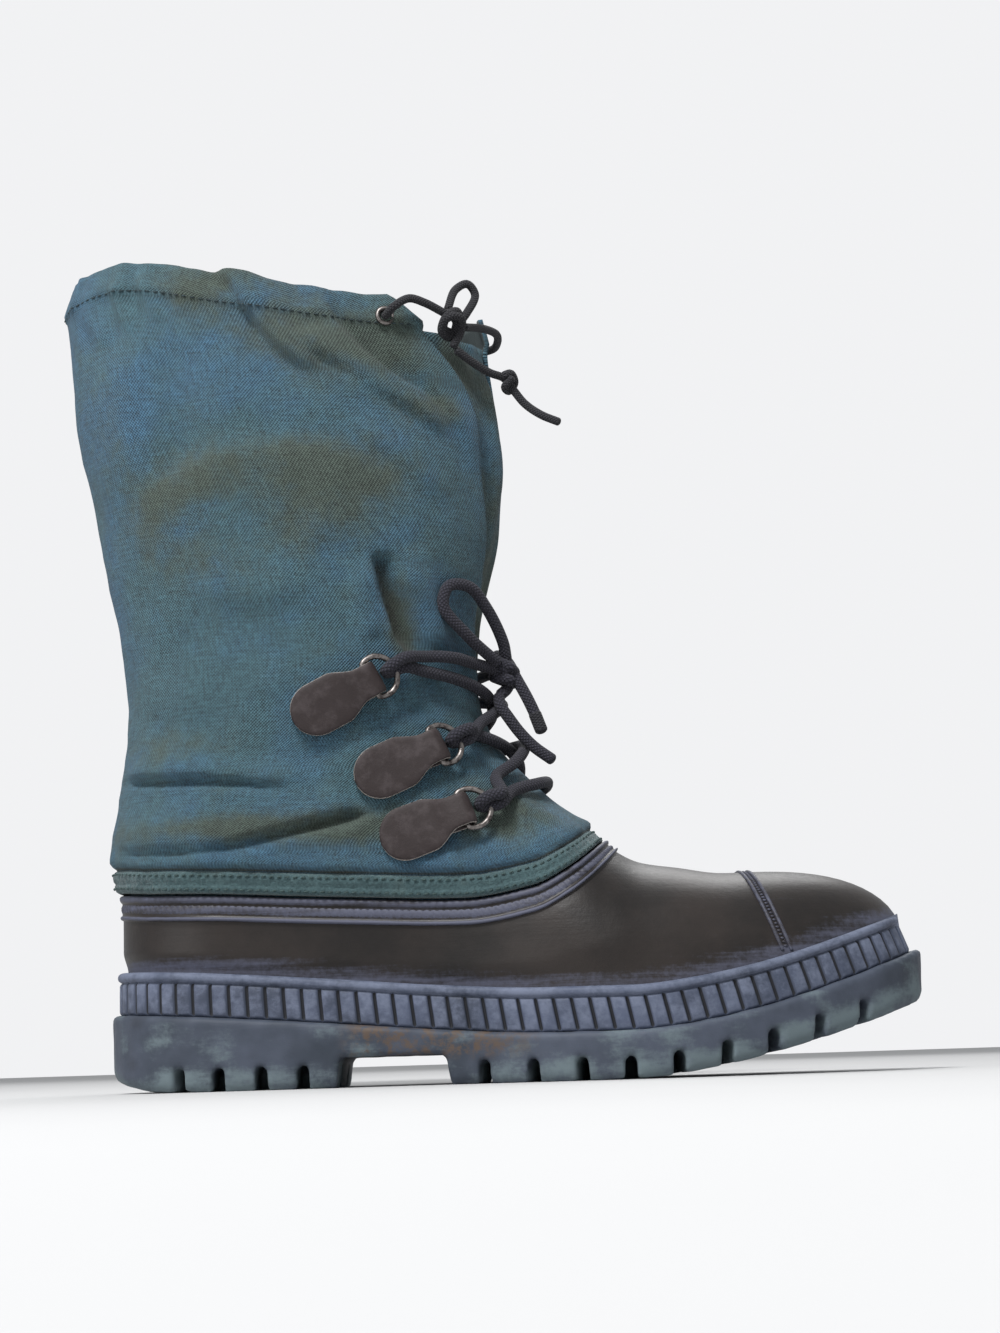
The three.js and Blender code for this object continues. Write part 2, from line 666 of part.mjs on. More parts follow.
const flareAt = (share) => SHELL_FLARE * smooth(0, 0.4, share);
const shellLevel = (share) => (x) => mix(bandTop(x), topline(x) - BINDING_HEIGHT, share);
const FOOT_LEVEL = (x) => soleTop(x) + GAP;

function rubberShell() {
  const walls = (shares, grow) => shares.map((share) => formRing(shellLevel(share), grow, flareAt(share)));
  const rims = (rows) => rows.map(([drop, grow]) => formRing((x) => topline(x) - drop, grow, SHELL_FLARE));
  const outside = [
    formRing(FOOT_LEVEL, 0),
    ...walls([0, 0.07, 0.15, 0.25, 0.37, 0.52, 0.75, 1], 0),
    ...rims([
      [BINDING_HEIGHT - 0.7, BINDING_RELIEF],
      [0.8, BINDING_RELIEF],
      [0, BINDING_RELIEF - 0.8],
    ]),
  ];
  const inside = [
    ...rims([[0, -SHELL_WALL]]),
    ...walls([1, 0.52, 0.25, 0.07, 0], -SHELL_WALL),
    formRing((x) => FOOT_LEVEL(x) + INSOLE_THICKNESS, -SHELL_WALL),
    formRing(FOOT_LEVEL, -SHELL_WALL),
  ];
  return bodyFromRings(outside.concat(inside).map((ring) => ringPoints(ring)), true).add(toeSeam());
}

// Raised strip across the vamp, where the toe cap begins: the shell's own form between two heights of relief
function toeSeam() {
  const form = (shares, grow) => {
    const rings = shares.map((share) => ringPoints(formRing(shellLevel(share), grow, flareAt(share))));
    return bodyFromRings(rings, false);
  };
  const outer = form([0.06, 0.1, 0.15, 0.25, 0.37, 0.5], TOE_SEAM_RELIEF);
  const core = form([-0.2, 0, 0.08, 0.15, 0.25, 0.37, 0.6], -SHELL_WALL / 2);
  const crest = 0.775 * SOLE_LENGTH;
  const foot = 0.825 * SOLE_LENGTH;
  const strip = prism(
    [
      [crest - TOE_SEAM_WIDTH, TOE_BOX_HEIGHT + 12],
      [foot - TOE_SEAM_WIDTH, 0.58 * TOE_BOX_HEIGHT],
      [foot, 0.58 * TOE_BOX_HEIGHT],
      [crest, TOE_BOX_HEIGHT + 12],
    ],
    'y',
    -BALL_WIDTH,
    BALL_WIDTH,
  );
  return outer.subtract(core).intersect(strip);
}

function insole() {
  const grow = -(SHELL_WALL + 2 * GAP);
  const levels = [FOOT_LEVEL, (x) => FOOT_LEVEL(x) + INSOLE_THICKNESS];
  return bodyFromRings(levels.map((level) => ringPoints(formRing(level, grow))), false);
}

// Shaft: the ring at a level, from the table of levels, drawn in by an inset
function shaftRing(at, inset, lift = 0) {
  const row = Object.fromEntries(
    ['rise', 'grow', 'oval'].map((column) => [column, along(SHAFT_ROWS, column, at)]),
  );
  const oval = Object.fromEntries(
    ['backZ', 'frontZ', 'back', 'front', 'half', 'sag'].map((column) => [column, along(LEVELS, column, at)]),
  );
  const rounded = (angle) => {
    const share = (1 - Math.cos(angle)) / 2;
    return new THREE.Vector3(
      mix(oval.back + inset, oval.front - inset, share),
      -Math.sin(angle) * (oval.half - inset),
      mix(oval.backZ, oval.frontZ, share) + oval.sag * along(SAG, 'lift', share),
    );
  };
  if (row.oval >= 1) return rounded;
  const up = Math.min(row.grow, 0.25 * row.grow);
  const form = formRing((x) => topline(x) + row.rise + lift, up - inset, SHELL_FLARE + row.grow - up);
  return (angle) => form(angle).lerp(rounded(angle), row.oval);
}

// The place on the shaft that has the given value on one axis and the given height, on one side
function onShaft(axis, value, z, sign, inset = 0) {
  const angleOn = (ring) => {
    if (axis === 'x') return solve(0, Math.PI, (angle) => ring(angle).x - value);
    return solve(Math.PI / 2, (3 * Math.PI) / 2, (angle) => ring(angle).y - value);
  };
  const place = (at) => {
    const ring = shaftRing(at, inset);
    return { ring, angle: angleOn(ring) };
  };
  const at = solve(2, 17, (level) => {
    const { ring, angle } = place(level);
    return ring(angle).z - z;
  });
  const { angle } = place(at);
  return { at, angle: axis === 'x' && sign > 0 ? 2 * Math.PI - angle : angle };
}

function shaftPoint(at, angle, lift = 0) {
  const here = shaftRing(at, 0)(angle);
  if (!lift) return here;
  const along1 = shaftRing(at, 0)(angle + 0.02).sub(here);
  const up = shaftRing(Math.min(at + 0.05, 17), 0)(angle).sub(here);
  const normal = up.cross(along1).normalize();
  if (normal.dot(new THREE.Vector3(here.x - 0.42 * ANKLE_DEPTH, here.y, 0)) < 0) normal.negate();
  return here.addScaledVector(normal, lift);
}

function shaft() {
  const outside = SHAFT_ROWS.map((row) => ringPoints(shaftRing(row.at, 0)));
  const inside = SHAFT_ROWS.filter((row) => row.inner !== null)
    .reverse()
    .map((row) => ringPoints(shaftRing(row.at, SHAFT_WALL, row.inner)));
  const tube = bodyFromRings(outside.concat(inside), true);
  const edge = (column) =>
    SLOT.map((row) => [row[column], row.at * BOOT_HEIGHT]);
  const opening = prism(edge('outer').concat(edge('inner').reverse()), 'x', 0.5 * SHAFT_DEPTH, 1.3 * SHAFT_DEPTH);
  return tube.subtract(opening);
}

// Bellows gusset behind the front opening: it lies inside the shaft's edges and swells out between them
function gusset() {
  const columns = 11;
  const rows = 10;
  const clear = SHAFT_WALL + 4 * GAP;
  const face = (depth) =>
    Array.from({ length: rows }, (_, j) => {
      const share = j / (rows - 1);
      const z = mix(GUSSET_FOOT, GUSSET_TOP, share);
      const outer = along(SLOT, 'outer', z / BOOT_HEIGHT);
      const inner = along(SLOT, 'inner', z / BOOT_HEIGHT);
      return Array.from({ length: columns }, (__, i) => {
        const reach = Math.max(outer - GUSSET_OVERLAP, -0.385 * SHAFT_WIDTH);
        const y = mix(reach, inner + GUSSET_OVERLAP, i / (columns - 1));
        const { at, angle } = onShaft('y', y, z, 1, clear + depth);
        const p = shaftRing(at, clear + depth)(angle);
        const off = (y - (outer + inner) / 2) / Math.max(1, (inner - outer) / 2 - 6);
        const window = Math.abs(off) < 1 ? (1 - off * off) ** 1.5 : 0;
        p.x += GUSSET_SWELL * along(GUSSET_ROWS, 'swell', share) * window;
        return p;
      });
    });
  const [front, back] = [face(0), face(GUSSET_THICKNESS)];
  return sheetBody(front.map((row, j) => row.concat(back[j].slice().reverse())));
}

// A closed body from rings that each run out along one face and back along the other
function sheetBody(rings) {
  const n = rings[0].length;
  const points = rings.flat();
  const faces = [];
  const quad = (a, b, c, d) => faces.push([a, b, c], [a, c, d]);
  for (let j = 0; j + 1 < rings.length; j += 1) {
    for (let i = 0; i < n; i += 1) {
      const k = (i + 1) % n;
      quad(j * n + i, j * n + k, (j + 1) * n + k, (j + 1) * n + i);
    }
  }
  const last = (rings.length - 1) * n;
  for (let i = 0; i < n / 2 - 1; i += 1) {
    quad(i, n - 1 - i, n - 2 - i, i + 1);
    quad(last + i, last + i + 1, last + n - 2 - i, last + n - 1 - i);
  }
  return solid(points, faces);
}

// The frame of a lace ring: its bar's middle on the shaft, outward, forward along the patch, and across it
function ringFrame(row, sign) {
  const { at, angle } = onShaft('x', row.x, row.z, sign);
  const origin = shaftPoint(at, angle);
  const outward = shaftPoint(at, angle, 1).sub(origin).normalize();
  const lean = THREE.MathUtils.degToRad(row.lean);
  const aim = new THREE.Vector3(Math.cos(lean), 0, Math.sin(lean));
  const forward = aim.addScaledVector(outward, -aim.dot(outward)).normalize();
  const across = new THREE.Vector3().crossVectors(outward, forward);
  return { origin, outward, forward, across };
}

const LOOP_HOLE = WIRE_DIAMETER / 2 + 2 * GAP;
const LOOP_RADIUS = LOOP_HOLE + PATCH_THICKNESS;

// Leather patch: a rounded strip laid on the shaft that folds round the ring's bar at its front
function lacePatch(row, sign) {
  const frame = ringFrame(row, sign);
  const { origin, outward, forward, across } = frame;
  const half = PATCH_WIDTH / 2;
  const stations = [0, -5, -9, -15, half - PATCH_LENGTH, 0.5 * half - PATCH_LENGTH, 0.13 * half - PATCH_LENGTH];
  const widthAt = (x) => {
    if (x > -9) return mix(PATCH_NECK / 2, half, smooth(0, 9, -x));
    const off = clamp((half - PATCH_LENGTH - x) / half, 0, 1);
    return half * Math.sqrt(1 - off * off);
  };
  const spot = (x, y, height) => {
    const flat = origin.clone().addScaledVector(forward, x).addScaledVector(across, y);
    const { at, angle } = onShaft('x', flat.x, flat.z, sign);
    const lift = shaftPoint(at, angle).sub(flat).dot(outward);
    return flat.addScaledVector(outward, lift + height);
  };
  const rings = stations.map((x) => {
    const w = widthAt(x);
    const low = [-w, 0, w].map((y) => spot(x, y, PATCH_LIFT));
    const high = [w, 0, -w].map((y) => spot(x, y, PATCH_LIFT + PATCH_THICKNESS));
    return low.concat(high);
  });
  const basis = new THREE.Matrix4().makeBasis(forward, across, outward);
  const barrel = (radius, length) => {
    const geometry = new THREE.CylinderGeometry(radius, radius, length, 8);
    geometry.applyMatrix4(basis);
    const centre = ringCentre(frame);
    geometry.translate(centre.x, centre.y, centre.z);
    return fromGeometry(geometry);
  };
  return bodyFromRings(rings, false).add(barrel(LOOP_RADIUS, PATCH_NECK)).subtract(barrel(LOOP_HOLE, PATCH_WIDTH));
}

const ringCentre = ({ origin, outward, forward }) =>
  origin.clone().addScaledVector(outward, PATCH_LIFT + LOOP_RADIUS).addScaledVector(forward, 1.6);

// D-ring: a straight bar in the patch's loop and a round bow ahead of it
function laceRing(row, sign) {
  const frame = ringFrame(row, sign);
  const centre = ringCentre(frame);
  const half = RING_WIDTH / 2 - WIRE_DIAMETER / 2;
  const path = [];
  const steps = 9;
  path.push([0, -half], [0, 0], [0, half]);
  for (let i = 1; i < steps; i += 1) {
    const a = (Math.PI * i) / steps;
    path.push([2.2 + (RING_REACH - 2.2) * Math.sin(a), half * Math.cos(a)]);
  }
  const place = ([ahead, aside]) =>
    centre
      .clone()
      .addScaledVector(frame.forward, ahead)
      .addScaledVector(frame.across, aside)
      .addScaledVector(frame.outward, -0.1 * ahead);
  const points = path.map(place);
  const rings = points.map((p, i) => {
    const next = points[(i + 1) % points.length];
    const before = points[(i + points.length - 1) % points.length];
    const run = next.clone().sub(before).normalize();
    const out = frame.outward.clone();
    const side = new THREE.Vector3().crossVectors(run, out).normalize();
    const stretch = 1 / Math.max(0.75, run.dot(next.clone().sub(p).normalize()));
    return angles(6).map((a) =>
      p
        .clone()
        .addScaledVector(side, (Math.cos(a) * WIRE_DIAMETER * stretch) / 2)
        .addScaledVector(new THREE.Vector3().crossVectors(side, run), (Math.sin(a) * WIRE_DIAMETER) / 2),
    );
  });
  return bodyFromRings(rings, true);
}

const ringTip = (row, sign, ahead) => {
  const frame = ringFrame(row, sign);
  return ringCentre(frame).addScaledVector(frame.forward, RING_REACH + ahead);
};

// The level of the shaft that reaches a height at an angle round it
const levelAt = (angle, z) => solve(2, 17, (at) => shaftRing(at, 0)(angle).z - z);

// Lace between two rings, laid round the front of the shaft
function laceRun({ from, to, side, rise }) {
  const rowOf = (name) => LACE_ROWS.find((row) => row.name === name);
  const clear = WIRE_DIAMETER / 2 + 7 * GAP;
  const start = ringTip(rowOf(from), side, clear);
  const end = ringTip(rowOf(to), -side, clear);
  const angleOf = (p, sign) => onShaft('x', p.x, p.z, sign).angle;
  const [first, last] = [angleOf(start, side), angleOf(end, -side)];
  const steps = 8;
  const points = [start.toArray()];
  for (let i = 1; i < steps; i += 1) {
    const share = i / steps;
    const angle = mix(first, last, share);
    const z = mix(start.z, end.z, share) + rise * Math.sin(Math.PI * share);
    points.push(shaftPoint(levelAt(angle, z), angle, LACE_DIAMETER / 2 + LACE_LIFT).toArray());
  }
  points.push(end.toArray());
  return cordSolid(points, LACE_DIAMETER, 9, 7);
}

const laceCrossings = () => LACE_RUNS.map(laceRun).reduce((left, right) => left.add(right));

// Free cords, as places along each of them
const cordRow = ([x, y, z]) => ({ x, y, z });
const CORDS = {
  lace_knot: [
    [156, 5, 170],
    [160.5, -3, 165.5],
    [162, -9, 161.5],
    [159.5, -13, 165.5],
    [157.5, -9, 170.5],
    [160.5, -3.5, 171],
    [164, -4.5, 165],
    [161.5, -8, 157.5],
    [159, -10.5, 154.8],
  ].map(cordRow),
  lace_loop: [
    [157.6, -15.9, 167.2],
    [146, -28.5, 176.5],
    [137.2, -33.9, 187.5],
    [139.5, -33.5, 195.5],
    [147.5, -28.5, 196],
    [154.5, -21.5, 188],
    [160.5, -13.5, 175.5],
  ].map(cordRow),
  lace_end_upper: [
    [166, -10.5, 160],
    [169.5, -11.5, 153],
    [172.5, -12, 146],
    [174.8, -12, 139.5],
  ].map(cordRow),
  lace_end_lower: [
    [158.1, -11.6, 153.6],
    [158.5, -13.8, 150],
    [161.8, -15, 144.5],
    [166, -15, 138.5],
    [171.5, -15, 132.5],
    [178.5, -16, 127],
  ].map(cordRow),
};
const DRAWCORDS = {
  drawcord_strand_outer: [
    [121.5, -45.5, 309],
    [127, -42.5, 312.5],
    [133, -39.5, 311.5],
    [140, -35.1, 308.8],
  ].map(cordRow),
  drawcord_knot: [
    [142, -34, 309],
    [145.5, -30, 306],
    [143, -28.5, 300],
    [139.5, -32.5, 301.5],
    [141.5, -35.5, 306.5],
    [146, -33, 309.5],
    [147.5, -29.5, 303],
    [144, -30, 296],
  ].map(cordRow),
  drawcord_loop: [
    [142.3, -32.5, 310.9],
    [145.5, -29, 320],
    [150.5, -27, 323],
    [153.5, -25, 319],
    [150, -28, 310.5],
  ].map(cordRow),
  drawcord_strand_inner: [
    [148.9, -28, 304.3],
    [156, -14, 308],
    [161.8, 1, 310],
    [161.2, 10, 309.5],
  ].map(cordRow),
  drawcord_tail: [
    [145.5, -29, 294.2],
    [152, -25, 290],
    [158.5, -20.5, 287],
    [164.5, -16.5, 285.5],
    [168, -15, 281],
    [172.5, -15, 275],
    [179, -17, 269.5],
    [186, -18, 266],
  ].map(cordRow),
};
const cordFrom = (rows, diameter) => {
  const points = rows.map(({ x, y, z }) => [x, y, z]);
  return cordSolid(points, diameter, 2 * rows.length, 8);
};

// Grommets of the drawcord: where each lies on the collar's hem
const GROMMETS = [
  { name: 'outer', sign: -1, x: 117, z: 0.914 * BOOT_HEIGHT },
  { name: 'inner', sign: 1, x: 153, z: 0.92 * BOOT_HEIGHT },
];

function grommet({ x, z, sign }) {
  const { at, angle } = onShaft('x', x, z, sign);
  const origin = shaftPoint(at, angle);
  const outward = shaftPoint(at, angle, 1).sub(origin).normalize();
  const turn = new THREE.Quaternion().setFromUnitVectors(new THREE.Vector3(0, 1, 0), outward);
  const disc = (radius, thickness, centre) => {
    const geometry = new THREE.CylinderGeometry(radius, radius, thickness, 14);
    geometry.applyQuaternion(turn);
    const place = origin.clone().addScaledVector(outward, centre);
    geometry.translate(place.x, place.y, place.z);
    return fromGeometry(geometry);
  };
  const centre = 1.5 * GAP + GROMMET_THICKNESS / 2;
  return disc(GROMMET_DIAMETER / 2, GROMMET_THICKNESS, centre).subtract(disc(GROMMET_HOLE / 2, 4, centre));
}

const materials = {
  outsole: new THREE.MeshStandardMaterial({ color: 0x3c434b, roughness: 0.75 }),
  band: new THREE.MeshStandardMaterial({ color: 0x464a55, roughness: 0.7 }),
  shell: new THREE.MeshStandardMaterial({ color: 0x3a3634, roughness: 0.5 }),
  insole: new THREE.MeshStandardMaterial({ color: 0x55544f, roughness: 0.95 }),
  nylon: new THREE.MeshStandardMaterial({ color: 0x3c5d64, roughness: 0.85 }),
  leather: new THREE.MeshStandardMaterial({ color: 0x352e2e, roughness: 0.6 }),
  steel: new THREE.MeshStandardMaterial({ color: 0x77706a, roughness: 0.4, metalness: 1 }),
  lace: new THREE.MeshStandardMaterial({ color: 0x24242c, roughness: 0.9 }),
};

const boot = new THREE.Group();

function put(name, manifold, material) {
  const mesh = new THREE.Mesh(toGeometry(manifold), material);
  mesh.name = name;
  boot.add(mesh);
}

put('outsole', outsole(), materials.outsole);
put('ribbed_band', ribbedBand(), materials.band);
put('rubber_shell', rubberShell(), materials.shell);
put('insole', insole(), materials.insole);
put('shaft', shaft(), materials.nylon);
put('front_gusset', gusset(), materials.nylon);
LACE_ROWS.forEach((row) => {
  SIDES.forEach(({ name, sign }) => {
    put(`lace_patch_${row.name}_${name}`, lacePatch(row, sign), materials.leather);
    put(`lace_ring_${row.name}_${name}`, laceRing(row, sign), materials.steel);
  });
});
put('lace_crossings', laceCrossings(), materials.lace);
GROMMETS.forEach((row) => put(`drawcord_grommet_${row.name}`, grommet(row), materials.steel));
Object.entries(CORDS).forEach(([name, rows]) => put(name, cordFrom(rows, LACE_DIAMETER), materials.lace));
Object.entries(DRAWCORDS).forEach(([name, rows]) => put(name, cordFrom(rows, DRAWCORD_DIAMETER), materials.lace));

// The frame's origin lies under the middle of the boot, measured without its free cords
const bounds = new THREE.Box3();
boot.children
  .filter(({ name }) => !(name in CORDS) && !(name in DRAWCORDS))
  .forEach((mesh) => bounds.expandByObject(mesh));
const middle = bounds.getCenter(new THREE.Vector3());
boot.children.forEach((mesh) => mesh.geometry.translate(-middle.x, -middle.y, -bounds.min.z));

export default boot;
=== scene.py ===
"""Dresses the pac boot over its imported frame: nylon shaft, rubber shell, ribbed band, sole and lacing."""

import logging
import math
from dataclasses import dataclass, field
from enum import Enum
from typing import Any, Callable, Sequence

import bmesh
import bpy
import numpy as np
from mathutils import Matrix, Vector, noise
from mathutils.bvhtree import BVHTree


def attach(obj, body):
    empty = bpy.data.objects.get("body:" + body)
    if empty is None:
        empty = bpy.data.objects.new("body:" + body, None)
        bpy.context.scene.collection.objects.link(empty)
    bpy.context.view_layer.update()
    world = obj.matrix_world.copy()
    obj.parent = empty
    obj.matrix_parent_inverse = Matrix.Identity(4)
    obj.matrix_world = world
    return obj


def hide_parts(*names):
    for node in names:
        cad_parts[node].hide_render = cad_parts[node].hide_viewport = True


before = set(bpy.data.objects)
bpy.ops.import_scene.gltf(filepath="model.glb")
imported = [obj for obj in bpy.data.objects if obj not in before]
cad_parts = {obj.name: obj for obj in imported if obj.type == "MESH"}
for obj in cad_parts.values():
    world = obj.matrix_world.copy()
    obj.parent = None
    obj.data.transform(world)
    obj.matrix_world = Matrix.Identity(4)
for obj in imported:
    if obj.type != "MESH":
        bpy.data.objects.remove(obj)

LOG = logging.getLogger("pac_boot")
BODY = "root"

Points = np.ndarray
Level = Callable[[Any], Any]
Ring = Callable[[Any], Points]


class Side(Enum):
    """The two sides of the boot, by the sign of their Y."""

    OUTER = -1.0
    INNER = 1.0


class Slot(Enum):
    """Material slots of the record."""

    OUTSOLE = "outsole_rubber"
    BAND = "band_rubber"
    SHELL = "shell_rubber"
    INSOLE = "insole_cloth"
    NYLON = "nylon"
    LEATHER = "leather"
    METAL = "ring_metal"
    LACE = "lace_cord"
    DRAWCORD = "drawcord_cord"


# ---- numbers that follow the boot's form


@dataclass(frozen=True)
class Curve:
    """A curve through its given knots that never overshoots them."""

    places: tuple[float, ...]
    values: tuple[float, ...]

    def __call__(self, at: Any) -> Points:
        """Reads the curve.

        Args:
            at: One place or an array of places along the curve.

        Returns:
            The values there, held level beyond both ends.
        """
        p = np.asarray(self.places, float)
        v = np.asarray(self.values, float)
        slope = np.diff(v) / np.diff(p)
        before, after = slope[:-1], slope[1:]
        same = before * after > 0
        inner = np.where(same, 2 * before * after / np.where(same, before + after, 1), 0)
        tangent = np.concatenate([slope[:1], inner, slope[-1:]])
        x = np.clip(np.asarray(at, float), p[0], p[-1])
        k = np.clip(np.searchsorted(p, x, side="right") - 1, 0, len(p) - 2)
        step = p[k + 1] - p[k]
        s = (x - p[k]) / step
        rise = s * s * (3 - 2 * s)
        bend = tangent[k] * s * (1 - s) ** 2 - tangent[k + 1] * s * s * (1 - s)
        return v[k] + (v[k + 1] - v[k]) * rise + step * bend


def smooth(low: float, high: float, value: Any) -> Any:
    """Eases from 0 at low to 1 at high."""
    share = np.clip((np.asarray(value, float) - low) / (high - low), 0, 1)
    return share * share * (3 - 2 * share)


def solve(low: float, high: float, rising: Callable[[float], float]) -> float:
    """Finds where a rising function first holds zero.

    Args:
        low: Lower end of the search.
        high: Upper end of the search.
        rising: The function.

    Returns:
        The place of its root.
    """
    for _ in range(30):
        middle = (low + high) / 2
        if rising(middle) > 0:
            high = middle
        else:
            low = middle
    return (low + high) / 2


def rows(text: str) -> dict[str, Curve]:
    """Reads a small table, whose first column is the place, as one curve a column.

    Args:
        text: Rows of a header and numbers, one row a line.

    Returns:
        The curves by the names of their columns.
    """
    lines = [line.split() for line in text.strip().splitlines()]
    numbers = np.array(lines[1:], float)
    places = tuple(numbers[:, 0])
    return {name: Curve(places, tuple(numbers[:, i])) for i, name in enumerate(lines[0]) if i}


def reach_of(line: Points) -> Points:
    """Distance along a line of points, at each of them."""
    return np.concatenate([[0], np.cumsum(np.linalg.norm(np.diff(line, axis=0), axis=1))])


def noise_over(points: Points) -> Points:
    """Noise at each point of an array."""
    flat = points.reshape(-1, 3)
    return np.array([noise.noise(Vector(p)) for p in flat]).reshape(points.shape[:-1])


@dataclass(frozen=True)
class BootForm:
    """The boot's own form, in millimetres: X from the heel, Y across and Z up from the floor."""

    sole_length: float = 325
    ball_width: float = 123
    waist_width: float = 86
    heel_width: float = 89
    toe_swing: float = 7
    toe_spring: float = 28
    heel_height: float = 28.5
    fore_thickness: float = 18.5
    band_ledge: float = 3
    band_toe_ledge: float = 4.6
    band_toe_lean: float = 5.5
    band_thickness: float = 2.8
    rib_height: float = 12.6
    rib_pitch: float = 7.1
    lip_height: float = 4
    shell_wall: float = 2.6
    shell_flare: float = 1.8
    toe_box_height: float = 80.5
    instep_height: float = 93.5
    throat: float = 198
    back_height: float = 79
    side_height: float = 72
    binding_height: float = 10
    insole_thickness: float = 5
    boot_height: float = 335
    collar_front: float = 318
    shaft_depth: float = 176
    shaft_width: float = 102
    collar_sag: float = 6.5
    hem_height: float = 13
    gap: float = 0.3
    middle: tuple[float, float, float] = (152.948, -0.25, 0.0)
    plan: dict[str, Curve] = field(init=False)
    sole_height: Curve = field(init=False)
    crest_line: Curve = field(init=False)
    top_line: Curve = field(init=False)
    shaft_rows: dict[str, Curve] = field(init=False)
    ovals: dict[str, Curve] = field(init=False)
    sag: Curve = field(init=False)
    slot: dict[str, Curve] = field(init=False)

    def __post_init__(self) -> None:
        """Works out the form's curves from its sizes."""
        b, w, h = self.ball_width, self.waist_width, self.heel_width
        places = (0, 0.15, 0.38, 0.64, 0.76, 1)
        put = object.__setattr__
        put(self, "plan", {
            "outer": Curve(places, (0.5 * h, 0.5 * h, 0.53 * w, 0.51 * b, 0.5 * b, 0.47 * b)),
            "inner": Curve(places, (0.5 * h, 0.5 * h, 0.47 * w, 0.46 * b, 0.49 * b, 0.5 * b)),
        })
        sole = (1.08, 1, 0.86, 0.74)
        fore = (1, 0.98, 1.06, 1.1)
        put(self, "sole_height", Curve(
            (0, 0.12, 0.28, 0.4, 0.53, 0.76, 0.92, 1),
            tuple(s * self.heel_height for s in sole) + tuple(s * self.fore_thickness for s in fore),
        ))
        throat = self.throat / self.sole_length
        i, t = self.instep_height, self.toe_box_height
        put(self, "crest_line", Curve(
            (0, 0.36, 0.43, 0.462, 0.495, 0.55, 0.58, throat, 0.655, 0.7, 0.76, 1),
            tuple(s * i for s in (4.2, 2.5, 1.9, 1.53, 1.32, 1.19, 1.09, 1, 0.915))
            + (1.035 * t, t, t),
        ))
        s, k = self.side_height, self.back_height
        put(self, "top_line", Curve(
            (0, 0.06, 0.16, 0.3, 0.44, 0.52, 0.56, throat, 0.68, 1),
            (k, 0.6 * k + 0.4 * s, 1.035 * s, s, 0.975 * s, 1.03 * s, 0.5 * (s + 0.95 * i), i,
             1.32 * i, 2.6 * i),
        ))
        put(self, "shaft_rows", rows("""
            at rise grow oval
            0 -9 -3.2 0
            1 1 -3.2 0
            2 1.4 1.6 0
            3 8.5 2.2 0
            4 9.5 2.2 0
            5 12.5 4.6 0.03
            6 22 4.2 0.15
            7 33 2.6 0.4
            8 48 0.8 0.8
            9 64 0 1
            17 260 0 1
        """))
        table = np.array([
            [0, 0.21, 0.29, 0.03, 1.14, 0.44, 0],
            [5, 0.27, 0.31, 0.01, 1.1, 0.45, 0],
            [6, 0.3, 0.335, 0.008, 1.04, 0.47, 0],
            [7, 0.345, 0.37, 0.014, 0.945, 0.47, 0],
            [8, 0.395, 0.412, 0.03, 0.882, 0.46, 0],
            [9, 0.46, 0.468, 0.038, 0.862, 0.46, 0],
            [10, 0.54, 0.543, 0.02, 0.866, 0.465, 0],
            [11, 0.61, 0.602, -0.004, 0.888, 0.48, 0],
            [12, 0.69, 0.67, -0.032, 0.913, 0.495, 0],
            [13, 0.81, 0.785, -0.078, 0.926, 0.5, 0.25],
        ])
        units = (1, self.boot_height, self.boot_height, self.shaft_depth, self.shaft_depth,
                 self.shaft_width, self.collar_sag)
        table = table * units
        lean = -0.104 * self.shaft_depth
        hem = ((14, 1.3, 0, -0.4), (15, 1, 0, 0), (16, 0.93, 0, 0.8), (17, 0, 1, -0.6))
        for at, drop, turn, relief in hem:
            table = np.vstack([table, [
                at,
                self.boot_height - drop * self.hem_height,
                self.collar_front - drop * self.hem_height,
                lean + 2.5 * turn - relief,
                lean + self.shaft_depth + 1.6 - 1.6 * turn + relief,
                0.46 * self.shaft_width - 2 * turn + relief,
                self.collar_sag,
            ]])
        names = ("back_z", "front_z", "back", "front", "half", "sag")
        put(self, "ovals", {
            name: Curve(tuple(table[:, 0]), tuple(table[:, n + 1])) for n, name in enumerate(names)
        })
        put(self, "sag", Curve((0, 0.15, 0.4, 0.7, 0.9, 1), (-0.2, 0.4, -0.5, -1, -0.5, 0)))
        edges = rows("""
            at outer inner
            0.372 0 0
            0.385 -0.03 0.03
            0.45 -0.09 0.09
            0.61 -0.14 0.13
            0.745 -0.22 0.11
            0.825 -0.24 0.08
            0.86 -0.28 0.06
            0.9 -0.33 0.05
            0.95 -0.37 0.04
            1.03 -0.42 0.03
        """)
        put(self, "slot", edges)

    def swing(self, share: Any) -> Any:
        """How far the axis turns to the inner side at a share of the length."""
        return self.toe_swing * smooth(0.55, 1, share)

    def lift(self, x: Any) -> Any:
        """How far the toe spring lifts the sole."""
        share = np.clip((np.asarray(x, float) / self.sole_length - 0.63) / 0.37, 0, 1)
        return self.toe_spring * share**1.5

    def sole_top(self, x: Any) -> Any:
        """Height of the outsole's upper face."""
        return self.lift(x) + self.sole_height(np.clip(np.asarray(x, float) / self.sole_length, 0, 1))

    def band_top(self, x: Any) -> Any:
        """Height of the ribbed band's upper edge."""
        return self.sole_top(x) + self.gap + self.rib_height + self.lip_height

    def topline(self, x: Any) -> Any:
        """Height of the shell's upper edge."""
        return self.top_line(np.asarray(x, float) / self.sole_length)

    def shell_level(self, share: float) -> Level:
        """A level of the shell's wall, from 0 at the band to 1 below the binding."""
        return lambda x: self.band_top(x) * (1 - share) + (self.topline(x) - self.binding_height) * share

    def flare(self, share: float) -> float:
        """How far the shell's wall stands out at a share of its height."""
        return float(self.shell_flare * smooth(0, 0.4, share))

